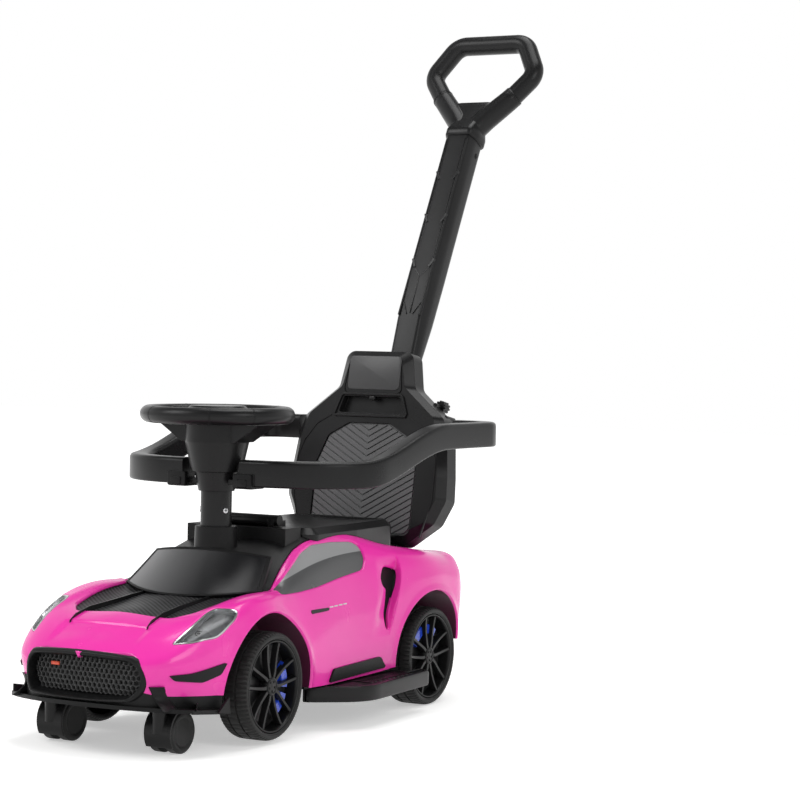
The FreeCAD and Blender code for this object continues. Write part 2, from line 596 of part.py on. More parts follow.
def make_front_splitter():
    end = V(sheet.splitter_end_across, -sheet.splitter_end_ahead, 0)
    tip = V(sheet.splitter_tip_across, -sheet.splitter_tip_ahead, 0)
    nose = V(0, -sheet.splitter_reach, 0)
    arc = Part.Arc(tip, nose, V(-tip.x, tip.y, 0)).toShape()
    sweep = [Part.LineSegment(end, tip).toShape(), arc,
             Part.LineSegment(V(-tip.x, tip.y, 0), V(-end.x, end.y, 0)).toShape(),
             Part.LineSegment(V(-end.x, end.y, 0), end).toShape()]
    plate = Part.Face(Part.Wire(sweep)).extrude(up * sheet.splitter_thickness)
    inner = box(-sheet.caster_place_across - sheet.caster_radius,
                sheet.caster_place_across + sheet.caster_radius,
                -sheet.pan_front, 0, -sheet.overrun, sheet.overrun)
    slope = math.degrees(math.atan2(sheet.splitter_rise, sheet.splitter_reach - sheet.splitter_end_ahead))
    plate.rotate(end, across, -slope)
    plate.translate(up * sheet.splitter_low)
    inner.translate(up * sheet.splitter_low)
    fascia = skin(-sheet.shell_wall - sheet.part_clearance, sheet.shell_drop)
    fascia = fascia.cut(skin(-sheet.shell_wall - sheet.part_clearance - sheet.fascia_wall,
                             sheet.shell_drop * 2))
    fascia = fascia.common(box(-top, top, -top, -sheet.arch_radius - sheet.part_clearance,
                               sheet.splitter_low, sheet.fascia_top))
    fascia = fascia.cut(grille_oval(sheet.part_clearance))
    winglet_points = [end + up * sheet.splitter_low, end + up * (sheet.splitter_low + sheet.winglet_height),
                      end + V(0, -sheet.winglet_length, sheet.splitter_low + sheet.splitter_thickness)]
    winglet = Part.Face(rounded(winglet_points, 0)).extrude(across * -sheet.vane_thickness)
    lip = plate.cut(inner).fuse([winglet, mirrored(winglet), fascia])
    rooms = arch_cylinder(0, front_axle_height)
    for _, sign in sides:
        stem = V(sign * sheet.caster_place_across, -sheet.caster_place_ahead, 0)
        rooms.append(Part.makeCylinder(sheet.caster_sweep, sheet.pan_low, stem))
    add_shape("front_splitter", lip.cut(rooms))


def make_floor_pan():
    low = sheet.pan_low
    high = low + sheet.pan_thickness
    reach = sheet.arch_radius + sheet.part_clearance * 3
    half = [V(sheet.pan_rear_half, sheet.pan_rear, low),
            V(sheet.pan_rear_half, sheet.wheelbase - reach, low),
            V(sheet.pan_half_width, sheet.wheelbase - reach, low), V(sheet.pan_half_width, reach, low),
            V(sheet.pan_waist, reach, low), V(sheet.pan_waist, -reach, low),
            V(sheet.caster_place_across + sheet.caster_stem_radius * 2 + sheet.pan_rib_wall,
              sheet.caster_stem_radius * 2 - sheet.caster_place_ahead, low),
            V(sheet.caster_place_across + sheet.caster_stem_radius * 2 + sheet.pan_rib_wall,
              -sheet.pan_front + sheet.part_clearance, low)]
    plate = Part.Face(rounded(both_sides(half), 0)).extrude(up * sheet.pan_thickness)
    adds = [box(-sheet.rest_pad_half, sheet.rest_pad_half, sheet.rest_pad_front, sheet.rest_pad_rear,
                low - sheet.rest_pad_drop, low)]
    cuts = []
    for _, sign in sides:
        pin = V(sign * sheet.kingpin_place, 0, low)
        ear_top = front_axle_height + sheet.knuckle_half_height + sheet.part_clearance
        web_x = sign * (sheet.kingpin_place - sheet.ear_radius - sheet.ear_web)
        ends = sorted((web_x, sign * sheet.kingpin_place))
        web_ends = sorted((web_x, web_x + sign * sheet.ear_web))
        for level, thickness in ((low, sheet.pan_thickness), (ear_top, sheet.ear_thickness)):
            ear = Part.makeCylinder(sheet.ear_radius, thickness, V(pin.x, 0, level))
            adds.append(ear.fuse(box(ends[0], ends[1], -sheet.ear_radius, sheet.ear_radius, level,
                                     level + thickness)))
        adds.append(box(web_ends[0], web_ends[1], -sheet.ear_radius, sheet.ear_radius, low,
                        ear_top + sheet.ear_thickness))
        cuts.append(Part.makeCylinder(sheet.kingpin_radius + sheet.running_clearance, sheet.overrun, pin))
        caster = V(sign * sheet.caster_place_across, -sheet.caster_place_ahead, low)
        adds.append(Part.makeCylinder(sheet.caster_stem_radius * 2, sheet.caster_stem_rise, caster))
        cuts.append(Part.makeCylinder(sheet.caster_stem_radius + sheet.running_clearance, sheet.overrun,
                                      caster))
        block_x = sign * sheet.axle_block_place
        adds.append(box(block_x - sheet.axle_block_wall / 2, block_x + sheet.axle_block_wall / 2,
                        sheet.wheelbase - sheet.axle_block_half, sheet.wheelbase + sheet.axle_block_half,
                        low,
                        sheet.wheel_radius + sheet.axle_block_half))
        adds.append(box(*sorted((sign * sheet.pan_half_width,
                                 sign * (sheet.pan_half_width - sheet.pan_rib_wall))),
                        reach, sheet.wheelbase - reach, low, high + sheet.pan_rib_height))
    cuts.append(Part.makeCylinder(sheet.axle_radius, sheet.body_half_width * 2,
                                  V(-sheet.body_half_width, sheet.wheelbase, sheet.wheel_radius), across))
    for share in pan_rib_shares:
        place = reach + share * (sheet.wheelbase - 2 * reach)
        adds.append(box(-sheet.pan_half_width, sheet.pan_half_width, place, place + sheet.pan_rib_wall, low,
                        high + sheet.pan_rib_height))
    inside = skin(-sheet.shell_wall - sheet.fascia_wall - sheet.part_clearance * 2, sheet.shell_drop)
    add_shape("floor_pan", plate.fuse(adds).cut(cuts).common(inside))


pan_rib_shares = (0.25, 0.5, 0.75)


# Steering gear

def make_knuckle(name, sign):
    label = "knuckle_" + name
    side = "%d * kingpin_place" % sign
    height = "(wheel_radius + front_lift)"
    block = bound_cylinder(label + "_block", "knuckle_radius", "knuckle_half_height * 2",
                           (side, "0", height + " - knuckle_half_height"))
    pin = bound_cylinder(label + "_pin", "kingpin_radius",
                         "(knuckle_half_height + ear_thickness) * 2 - part_clearance",
                         (side, "0", height + " - knuckle_half_height - ear_thickness + part_clearance"))
    facing = across * sign
    shoulder = bound_cylinder(label + "_shoulder", "stub_shoulder",
                              "wheel_face - tyre_width / 2 - hub_back - part_clearance - kingpin_place",
                              (side, "0", height), facing)
    stub = bound_cylinder(label + "_stub", "axle_radius",
                          "wheel_face - spoke_set_back - hub_cap - part_clearance - kingpin_place",
                          (side, "0", height), facing)
    arm = bound_box(label + "_arm", ("steer_arm_width", "steer_arm_length", "steer_arm_thickness"),
                    (side + " - steer_arm_width / 2", "0", height + " - knuckle_half_height"))
    arm_end = bound_cylinder(label + "_arm_end", "steer_arm_width / 2", "steer_arm_thickness",
                             (side, "steer_arm_length", height + " - knuckle_half_height"))
    arm_pin = bound_cylinder(label + "_arm_pin", "steer_pin_radius",
                             "steer_arm_thickness + tie_rod_thickness + part_clearance * 3",
                             (side, "steer_arm_length", height + " - knuckle_half_height"))
    add_piece(bound_fuse(label, [block, pin, shoulder, stub, arm, arm_end, arm_pin]), label)


def slot_loop(place, place_along):
    half = "(steer_pin_radius + tie_slot_side)"
    reach = "(steer_pin_radius + tie_slot_end)"
    corners = (("-", "-"), ("+", "-"), ("+", "+"), ("-", "+"))
    return [("%s %s %s" % (place, a, half), "%s %s %s" % (place_along, b, reach)) for a, b in corners]


tie_rod_low = "wheel_radius + front_lift - knuckle_half_height + steer_arm_thickness + part_clearance"


# A cross bar with a lug that reaches back under the end of the steering shaft
def make_tie_rod():
    body = new_body("tie_rod")
    sketch = new_sketch(body, "XY_Plane", tie_rod_low)
    reach = "(kingpin_place + tie_rod_overhang)"
    half = "(tie_rod_width / 2 + steer_pin_radius)"
    crank_place = "(column_place + crank_length - steer_arm_length)"
    lug_end = crank_place + " + tie_slot_end + tie_rod_overhang"
    add_loop(sketch, [("-" + reach, "-" + half), (reach, "-" + half), (reach, half), ("tie_lug_half", half),
                      ("tie_lug_half", lug_end), ("-tie_lug_half", lug_end), ("-tie_lug_half", half),
                      ("-" + reach, half)])
    for place, place_along in (("kingpin_place", "0"), ("-kingpin_place", "0"), ("0", crank_place)):
        add_loop(sketch, slot_loop(place, place_along))
    add_pad(body, sketch, "tie_rod_thickness")
    body.setExpression("Placement.Base.y", bind("steer_arm_length"))


def make_steering_shaft():
    base = V(0, sheet.column_place, 0)
    low = value(tie_rod_low)
    crank_low = low + sheet.tie_rod_thickness + sheet.part_clearance
    rod = Part.makeCylinder(sheet.shaft_radius, sheet.shaft_top - crank_low, base + up * crank_low)
    pin = V(0, sheet.column_place + sheet.crank_length, low)
    half = sheet.steer_arm_width / 2
    crank = box(-half, half, sheet.column_place, pin.y, crank_low, crank_low + sheet.steer_arm_thickness)
    crank = crank.fuse([Part.makeCylinder(half, sheet.steer_arm_thickness, V(0, pin.y, crank_low)),
                        Part.makeCylinder(sheet.shaft_radius * 2, sheet.steer_arm_thickness,
                                          base + up * crank_low),
                        Part.makeCylinder(sheet.steer_pin_radius,
                                          sheet.tie_rod_thickness + sheet.steer_arm_thickness, pin)])
    bushes = [Part.makeCylinder(sheet.tube_bore - sheet.running_clearance, sheet.bush_height,
                                base + up * level)
              for level in (sheet.tube_low, sheet.tube_top - sheet.bush_height * 2)]
    add_shape("steering_shaft", rod.fuse([crank] + bushes))


def make_column_tube():
    body = new_body("column_tube")
    sketch = new_sketch(body, "XY_Plane", "tube_low")
    add_circle(sketch, "tube_radius - seat_clearance / 2")
    add_circle(sketch, "tube_bore")
    add_pad(body, sketch, "tube_top - tube_low")
    body.setExpression("Placement.Base.y", bind("column_place"))


def make_guard_bracket():
    base = V(0, sheet.column_place, 0)
    collar = Part.makeCone(sheet.collar_low_radius, sheet.collar_top_radius,
                           sheet.collar_top - sheet.collar_low,
                           base + up * sheet.collar_low)
    half = sheet.bracket_depth / 2
    corners = both_sides([V(sheet.bracket_half, sheet.column_place + half, sheet.tube_top),
                          V(sheet.bracket_half, sheet.column_place - half, sheet.tube_top)])
    plate = Part.Face(rounded(corners, half * corner_room_share)).extrude(up * sheet.bracket_thickness)
    pegs = [Part.makeCylinder(sheet.peg_radius, sheet.peg_height + sheet.bracket_thickness,
                              V(sign * sheet.peg_place, sheet.column_place, sheet.tube_top)) for _,
            sign in sides]
    bore = Part.makeCylinder(sheet.shaft_radius + sheet.part_clearance, sheet.overrun,
                             base + up * sheet.tube_top)
    socket = Part.makeCylinder(sheet.tube_radius + sheet.seat_clearance, sheet.tube_top - sheet.collar_low,
                               base + up * sheet.collar_low)
    add_shape("guard_bracket", collar.fuse([plate] + pegs).cut([bore, socket]))


def make_steering_wheel():
    base = V(0, sheet.column_place, 0)
    low = sheet.collar_top + sheet.part_clearance
    rim = Part.makeTorus(sheet.steer_rim_radius, sheet.steer_rim_tube, base + up * sheet.steer_height)
    hub = Part.makeCone(sheet.hub_low_radius, sheet.hub_top_radius, sheet.hub_cone_top - low,
                        base + up * low)
    hub = hub.fuse(Part.makeCylinder(sheet.pad_radius, sheet.steer_spoke_top - sheet.hub_cone_top,
                                     base + up * sheet.hub_cone_top))
    dome = Part.makeCone(sheet.pad_radius, sheet.pad_radius - sheet.pad_dome, sheet.pad_dome,
                         base + up * sheet.steer_spoke_top)
    profile = [V(0, 0, sheet.hub_cone_top), V(sheet.pad_radius, 0, sheet.hub_cone_top),
               V(sheet.steer_rim_radius - sheet.steer_rim_tube, 0,
                 sheet.steer_height - sheet.steer_rim_tube),
               V(sheet.steer_rim_radius, 0, sheet.steer_height - sheet.pad_dome),
               V(sheet.steer_rim_radius, 0, sheet.steer_height + sheet.pad_dome),
               V(0, 0, sheet.steer_spoke_top)]
    spoke = Part.Face(rounded(profile, 0)).extrude(along * (2 * sheet.spoke_half_depth))
    spoke.translate(along * -sheet.spoke_half_depth)
    spokes = []
    for angle in (0, 90, 180):
        turned = spoke.copy()
        turned.rotate(V(0, 0, 0), up, angle)
        turned.translate(base)
        spokes.append(turned)
    well_depth = sheet.button_height + sheet.button_travel
    well_low = sheet.steer_spoke_top + sheet.button_proud - well_depth
    wells = [Part.makeCylinder(sheet.button_radius + sheet.part_clearance, well_depth,
                               V(sign * sheet.button_place, sheet.column_place, well_low))
             for _, sign in sides]
    bore = Part.makeCylinder(sheet.shaft_radius + sheet.seat_clearance / 2,
                             sheet.shaft_top - low + sheet.part_clearance, base + up * low)
    wheel = rim.fuse([hub, dome] + spokes)
    add_shape("steering_wheel", wheel.cut(wells + [bore]))


def make_wheel_button(name, sign):
    body = new_body("wheel_button_" + name)
    sketch = new_sketch(body, "XZ_Plane")
    add_loop(sketch, [("0", "0"), ("button_radius", "0"),
                      ("button_radius", "button_height - button_proud / 2"),
                      ("button_radius - button_proud / 2", "button_height"), ("0", "button_height")])
    add_revolution(body, sketch, "V_Axis")
    for axis, text in zip("xyz", ("%d * button_place" % sign, "column_place",
                                  "steer_spoke_top + button_proud - button_height")):
        body.setExpression("Placement.Base." + axis, bind(text))


# Wheels

def place_wheel(body, sign, rear):
    place = "wheelbase" if rear else "0"
    height = "wheel_radius" if rear else "wheel_radius + front_lift"
    if sign < 0:
        body.Placement.Rotation = FreeCAD.Rotation(up, 180)
    body.setExpression("Placement.Base.x", bind("%d * (wheel_face - tyre_width / 2)" % sign))
    body.setExpression("Placement.Base.y", bind(place))
    body.setExpression("Placement.Base.z", bind(height))


def make_tyre(corner, sign, rear):
    body = new_body("tyre_" + corner)
    sketch = new_sketch(body, "XY_Plane")
    half = "tyre_width / 2"
    seat = "rim_radius + tyre_clearance"
    middle = "(rim_radius + wheel_radius) / 2"
    groove_low = "wheel_radius - tread_groove_depth"
    loop = [("-%s + tyre_bulge" % half, seat), ("-" + half, middle),
            ("-%s + tyre_bulge" % half, "wheel_radius - tyre_shoulder / 2"),
            ("-%s + tyre_shoulder" % half, "wheel_radius")]
    for middle_place in ("-tread_groove_place", "tread_groove_place"):
        loop += [(middle_place + " - tread_groove / 2", "wheel_radius"),
                 (middle_place + " - tread_groove / 2", groove_low),
                 (middle_place + " + tread_groove / 2", groove_low),
                 (middle_place + " + tread_groove / 2", "wheel_radius")]
    loop += [(half + " - tyre_shoulder", "wheel_radius"),
             (half + " - tyre_bulge", "wheel_radius - tyre_shoulder / 2"),
             (half, middle), (half + " - tyre_bulge", seat)]
    add_loop(sketch, loop)
    add_revolution(body, sketch)
    place_wheel(body, sign, rear)


def make_rim(corner, sign, rear):
    body = new_body("rim_" + corner)
    sketch = new_sketch(body, "XY_Plane")
    face = "tyre_width / 2 - spoke_set_back"
    lip = "tyre_width / 2 - rim_lip"
    barrel = "rim_radius - rim_wall"
    bore = "axle_radius + running_clearance"
    add_loop(sketch, [("-rim_back", "rim_radius"), (lip, "rim_radius"), (lip, barrel + " + rim_lip"),
                      (face, barrel),
                      ("web_thickness", barrel), ("web_thickness", "hub_radius"), (face, "hub_radius"),
                      (face, "0"),
                      (face + " - hub_cap", "0"), (face + " - hub_cap", bore), ("-hub_back", bore),
                      ("-hub_back", "hub_radius"),
                      ("0", "hub_radius"), ("0", barrel), ("-rim_back", barrel)])
    add_revolution(body, sketch)
    spokes = new_sketch(body, "YZ_Plane", face + " - spoke_thickness")
    outer = barrel + " + spoke_overlap / 3"
    root = "hub_radius - spoke_overlap"
    add_loop(spokes, [("-spoke_root_half", root), ("spoke_root_half", root), ("spoke_tip_half", outer),
                      ("spoke_tip_half - spoke_arm_width", outer), ("0", "spoke_fork_radius"),
                      ("spoke_arm_width - spoke_tip_half", outer), ("-spoke_tip_half", outer)])
    pad = add_pad(body, spokes, "spoke_thickness")
    add_polar(body, pad, "X_Axis", spoke_count)
    place_wheel(body, sign, rear)


def make_brake_disc(corner, sign, rear):
    body = new_body("brake_disc_" + corner)
    sketch = new_sketch(body, "YZ_Plane", "web_thickness + seat_clearance")
    add_circle(sketch, "disc_radius")
    add_circle(sketch, "hub_radius + seat_clearance")
    add_pad(body, sketch, "disc_thickness")
    caliper = new_sketch(body, "YZ_Plane", "web_thickness + disc_thickness / 2")
    add_loop(caliper, [("caliper_inner", "-caliper_half"),
                       ("caliper_outer - caliper_thickness", "-caliper_half"),
                       ("caliper_outer", "0"), ("caliper_outer - caliper_thickness", "caliper_half"),
                       ("caliper_inner", "caliper_half")])
    add_pad(body, caliper, "disc_thickness / 2 + caliper_thickness")
    place_wheel(body, sign, rear)


def make_rear_axle():
    half = "(wheel_face - spoke_set_back - hub_cap - part_clearance)"
    axle = bound_cylinder("rear_axle", "axle_radius", half + " * 2",
                          ("-" + half, "wheelbase", "wheel_radius"), across)
    add_piece(axle, "rear_axle")


# Twin-wheel casters; the wheels trail behind the stem

def make_caster(name, sign):
    stem = V(sign * sheet.caster_place_across, -sheet.caster_place_ahead, 0)
    axle = stem + V(0, sheet.caster_trail, sheet.caster_radius)
    half_gap = sheet.caster_gap / 2 - sheet.part_clearance
    half_width = sheet.caster_gap / 2 + sheet.caster_wheel_width
    inner = sheet.caster_radius + sheet.caster_hood_gap
    outer = inner + sheet.caster_hood_wall
    hood = Part.makeCylinder(outer, half_width * 2, axle - across * half_width, across)
    hood = hood.cut(Part.makeCylinder(inner, half_width * 2, axle - across * half_width, across))
    hood = hood.cut([box(axle.x - outer * 2, axle.x + outer * 2, axle.y, axle.y + outer * 2, -outer,
                         outer * 3),
                     box(axle.x - outer * 2, axle.x + outer * 2, axle.y - outer * 2, axle.y + outer, -outer,
                         sheet.caster_radius * caster_hood_low_share)])
    web = Part.makeCylinder(outer, half_gap * 2, axle - across * half_gap, across)
    web = web.cut(box(axle.x - outer, axle.x + outer, axle.y - outer, axle.y + outer, -outer,
                      sheet.caster_radius * caster_web_low_share))
    web = web.cut(Part.makeCylinder(sheet.caster_axle_radius + sheet.running_clearance, half_gap * 2,
                                    axle - across * half_gap, across))
    neck_low = axle.z
    neck_top = sheet.pan_low - sheet.part_clearance
    neck = Part.makeCylinder(sheet.caster_neck_radius, neck_top - neck_low, V(stem.x, stem.y, neck_low))
    neck = neck.cut(Part.makeCylinder(inner, half_width * 2, axle - across * half_width, across))
    pin = Part.makeCylinder(sheet.caster_stem_radius, sheet.caster_stem_rise, V(stem.x, stem.y, neck_top))
    add_shape("caster_fork_" + name, hood.fuse([web, neck, pin]))
    profile_half = sheet.caster_wheel_width
    wheels = []
    for turn in (1, -1):
        start = sheet.caster_gap / 2
        loop = [V(start, 0, 0), V(start, sheet.caster_radius, 0),
                V(start + profile_half - sheet.caster_wheel_bevel, sheet.caster_radius, 0),
                V(start + profile_half, sheet.caster_radius - sheet.caster_wheel_bevel, 0),
                V(start + profile_half, sheet.caster_radius * caster_dish_share, 0),
                V(start + profile_half - sheet.caster_wheel_bevel / 2,
                  sheet.caster_radius * caster_dish_share - sheet.caster_wheel_bevel, 0),
                V(start + profile_half - sheet.caster_wheel_bevel / 2, 0, 0)]
        wheel = Part.Face(rounded([V(turn * point.x, point.y, 0) for point in loop], 0)).revolve(V(0, 0, 0),
                across, 360)
        wheel.translate(axle)
        wheels.append(wheel)
    pin_length = sheet.caster_gap + sheet.caster_wheel_width
    shaft = Part.makeCylinder(sheet.caster_axle_radius, pin_length, axle - across * (pin_length / 2),
                              across)
    add_shape("caster_wheels_" + name, shaft.fuse(wheels))


caster_hood_low_share = 0.35
caster_web_low_share = 0.6
caster_dish_share = 0.78


# Seat lid with its hinge sleeve, and the fixed hinge rod

def make_seat_lid():
    def outline(inset, height):
        front = sheet.seat_front + inset
        rear = sheet.seat_rear - inset
        middle = (front + rear) / 2
        half = [V(sheet.seat_rear_half - inset, rear, height),
                V(sheet.seat_half_width - inset, middle, height),
                V(sheet.seat_half_width - inset, front, height)]
        return rounded(both_sides(half), sheet.seat_corner - inset)
    shoulder = sheet.seat_top - sheet.seat_bevel
    block = Part.Face(outline(0, sheet.seat_low)).extrude(up * (shoulder - sheet.seat_low))
    block = block.fuse(Part.makeLoft([outline(0, shoulder), outline(sheet.seat_bevel, sheet.seat_top)],
                                     True, True))
    pocket = Part.Face(outline(sheet.seat_wall,
                               sheet.seat_low)).extrude(up * (shoulder - sheet.seat_wall - sheet.seat_low))
    dish = Part.makeCylinder(sheet.seat_dish_radius, sheet.tub_rear - sheet.tub_front,
                             V(0, sheet.tub_front,
                               sheet.seat_top + sheet.seat_dish_radius - sheet.seat_dish_depth), along)
    notch = Part.makeCylinder(sheet.seat_notch_radius, sheet.seat_notch_radius,
                              V(0, sheet.seat_rear - sheet.seat_notch_radius / 2,
                                sheet.seat_top + sheet.seat_dish_depth), along)
    lid = block.cut([pocket, dish, notch])
    sleeve_low = V(-sheet.hinge_sleeve_half, sheet.hinge_place, sheet.hinge_height)
    sleeve = Part.makeCylinder(sheet.hinge_sleeve_radius, sheet.hinge_sleeve_half * 2, sleeve_low, across)
    arm_low = sheet.hinge_height - sheet.hinge_sleeve_radius
    arm_rear = sheet.seat_front + sheet.seat_bevel * 2
    arm = box(-sheet.hinge_sleeve_half, sheet.hinge_sleeve_half, sheet.hinge_place, arm_rear, arm_low,
              arm_low + sheet.hinge_arm_thickness)
    riser = box(-sheet.hinge_sleeve_half, sheet.hinge_sleeve_half, sheet.seat_front, arm_rear,
                shoulder - sheet.seat_wall,
                arm_low + sheet.hinge_arm_thickness)
    bore = Part.makeCylinder(sheet.hinge_rod_radius + sheet.running_clearance, sheet.hinge_sleeve_half * 2,
                             sleeve_low, across)
    add_shape("seat_lid", lid.fuse([sleeve, arm, riser]).cut([bore, skin(sheet.part_clearance)]))


def make_hinge_rod():
    body = new_body("hinge_rod")
    sketch = new_sketch(body, "XY_Plane")
    rod_end = "hinge_sleeve_half + part_clearance * 2 + hinge_lug"
    cap_end = rod_end + " + hinge_cap"
    add_loop(sketch, [("-(%s)" % cap_end, "0"), (cap_end, "0"), (cap_end, "hinge_sleeve_radius"),
                      (rod_end, "hinge_sleeve_radius"),
                      (rod_end, "hinge_rod_radius"), ("-(%s)" % rod_end, "hinge_rod_radius"),
                      ("-(%s)" % rod_end, "hinge_sleeve_radius"),
                      ("-(%s)" % cap_end, "hinge_sleeve_radius")])
    add_revolution(body, sketch)
    body.setExpression("Placement.Base.y", bind("hinge_place"))
    body.setExpression("Placement.Base.z", bind("hinge_height"))


# Backrest in its own frame: X across, Y from front face to rear face, Z up the back; then leaned

def lean_back(shape):
    shape.rotate(V(0, 0, 0), across, -sheet.back_lean)
    shape.translate(V(0, sheet.back_foot_place, sheet.back_foot_height))
    return shape


def back_outline(inset, depth):
    middle = sheet.back_height / 2
    half = []
    for wide, high in back_outline_shares:
        z = high * sheet.back_height
        half.append(V(wide * sheet.back_half_width - inset, depth,
                      z + (inset if z < middle else -inset) * (high in (0.0, 1.0))))
    return rounded(both_sides(half), sheet.back_corner)


def back_block(outset=0):
    front = Part.makeLoft([back_outline(sheet.back_bevel - outset, -outset),
                           back_outline(-outset, sheet.back_bevel)], True, True)
    rear_start = sheet.back_thickness - sheet.back_rear_bevel
    middle = Part.Face(back_outline(-outset,
                                    sheet.back_bevel)).extrude(along * (rear_start - sheet.back_bevel))
    rear = Part.makeLoft([back_outline(-outset, rear_start),
                          back_outline(sheet.back_rear_bevel - outset, sheet.back_thickness + outset)],
                         True, True)
    return front.fuse([middle, rear])


def front_outline(shares, half, bottom, height, depth):
    return both_sides([V(wide * half, depth, bottom + high * height) for wide, high in shares])


def panel_points(inset, depth):
    half = sheet.panel_half - inset
    return front_outline(panel_outline_shares, half, sheet.panel_bottom + inset,
                         sheet.panel_top - sheet.panel_bottom - 2 * inset, depth)


def make_backrest_shell():
    block = back_block()
    cover_face = sheet.back_thickness - sheet.cover_thickness
    hollow = Part.Face(back_outline(sheet.back_bevel + sheet.back_wall,
                                    sheet.panel_recess + sheet.slot_depth + sheet.back_wall))
    hollow = hollow.extrude(along * sheet.back_thickness)
    rebate = Part.Face(back_outline(sheet.back_rear_bevel + sheet.cover_inset - sheet.seat_clearance,
                                    cover_face))
    rebate = rebate.extrude(along * sheet.overrun)
    recess = Part.Face(rounded(panel_points(-sheet.seat_clearance, -sheet.overrun), sheet.back_corner))
    recess = recess.extrude(along * (sheet.overrun + sheet.panel_recess))
    slot_corners = front_outline(((1.0, 0.0), (0.86, 1.0)), sheet.slot_half, sheet.slot_bottom,
                                 sheet.slot_top - sheet.slot_bottom, 0)
    slot = Part.Face(rounded(slot_corners, sheet.back_wall)).extrude(along * sheet.slot_depth)
    head = front_outline(head_outline_shares, sheet.back_half_width, 0, sheet.back_height, 0)
    head_face = Part.Face(rounded(head, sheet.back_wall * 2))
    ring = head_face.makeOffset2D(sheet.head_groove).extrude(along * sheet.head_groove_depth)
    ring = ring.cut(head_face.extrude(along * sheet.head_groove_depth))
    root = sheet.back_thickness - sheet.back_rear_bevel * 2
    tip = sheet.back_thickness - sheet.seat_clearance
    pegs = []
    for _, sign in sides:
        peg_root = V(sign * sheet.latch_peg_across, root, sheet.latch_peg_up)
        spindle_root = V(sign * sheet.knob_place_across, root, sheet.knob_place_up)
        pegs.append(Part.makeCylinder(sheet.latch_peg_radius, tip + sheet.latch_peg_length - root, peg_root,
                                      along))
        pegs.append(Part.makeCylinder(sheet.knob_spindle, tip + sheet.knob_height / 2 - root, spindle_root,
                                      along))
    add_shape("backrest_shell", lean_back(block.cut([hollow, rebate, recess, slot, ring]).fuse(pegs)))


# Chevron ribs: each rib is a V that runs down to the middle
def make_backrest_panel():
    depth = sheet.panel_recess
    outline = Part.Face(rounded(panel_points(0, depth - sheet.panel_base), sheet.back_corner))
    base = outline.extrude(along * (sheet.panel_base - sheet.seat_clearance))
    rib_front = depth - sheet.panel_base - sheet.panel_rib
    room = Part.Face(rounded(panel_points(sheet.panel_rib, rib_front),
                             sheet.back_corner)).extrude(along * sheet.panel_base)
    ribs = []
    half = sheet.panel_half
    start = sheet.panel_bottom
    while start < sheet.panel_top + sheet.panel_rib_drop:
        low = start - sheet.panel_rib_drop
        loop = [V(half, rib_front, start), V(0, rib_front, low), V(-half, rib_front, start),
                V(-half, rib_front, start + sheet.panel_rib_width),
                V(0, rib_front, low + sheet.panel_rib_width),
                V(half, rib_front, start + sheet.panel_rib_width)]
        rib = Part.Face(rounded(loop,
                                0)).extrude(along * (sheet.panel_rib + sheet.seat_clearance)).common(room)
        if rib.Solids:
            ribs.append(rib)
        start += sheet.panel_rib_pitch
    add_shape("backrest_panel", lean_back(base.fuse(ribs)))


def handle_section(shrink, length):
    half = sheet.stem_width / 2 - shrink
    deep = sheet.stem_depth / 2 - shrink
    corners = [V(half, deep, length), V(-half, deep, length), V(-half, -deep, length),
               V(half, -deep, length)]
    return rounded(corners, sheet.stem_corner - shrink)


# Handle frame: Z runs up the stem, with zero at its top
def lean_handle(shape):
    shape.rotate(V(0, 0, 0), across, -sheet.handle_lean)
    shape.translate(V(0, sheet.stem_top_place, sheet.stem_top_height))
    return shape


def make_backrest_cover():
    plate = Part.Face(back_outline(sheet.back_rear_bevel + sheet.cover_inset,
                                   sheet.back_thickness - sheet.cover_thickness))
    plate = lean_back(plate.extrude(along * sheet.cover_thickness))
    foot = -sheet.stem_length
    sleeve = Part.Face(handle_section(-sheet.socket_wall, foot)).extrude(up * sheet.socket_length)
    sleeve = lean_handle(sleeve)
    room = Part.Face(back_outline(sheet.back_bevel + sheet.back_wall * 2,
                                  sheet.panel_recess + sheet.slot_depth + sheet.back_wall * 2))
    room = lean_back(room.extrude(along * (sheet.back_thickness + sheet.overrun)))
    bore = lean_handle(Part.Face(handle_section(-sheet.seat_clearance,
                                                foot)).extrude(up * (sheet.socket_length + sheet.overrun)))
    add_shape("backrest_cover", plate.fuse(sleeve.common(room)).cut(bore))


def make_guard_knob(name, sign):
    start = sheet.back_thickness + sheet.part_clearance
    foot = V(sign * sheet.knob_place_across, start, sheet.knob_place_up)
    knob = Part.makeCylinder(sheet.knob_radius, sheet.knob_height, foot, along)
    flutes = []
    for index in range(knob_flutes):
        angle = math.radians(360 * index / knob_flutes)
        spot = foot + V(math.cos(angle), 0, math.sin(angle)) * sheet.knob_radius
        flutes.append(Part.makeCylinder(sheet.knob_flute, sheet.knob_height, spot, along))
    bore = Part.makeCylinder(sheet.knob_spindle + sheet.running_clearance,
                             sheet.knob_height / 2 + sheet.part_clearance, foot, along)
    add_shape("guard_knob_" + name, lean_back(knob.cut(flutes + [bore])))


knob_flutes = 10


# Guard rail: a plan path with rounded corners, swept with an upright section that rises to the rear

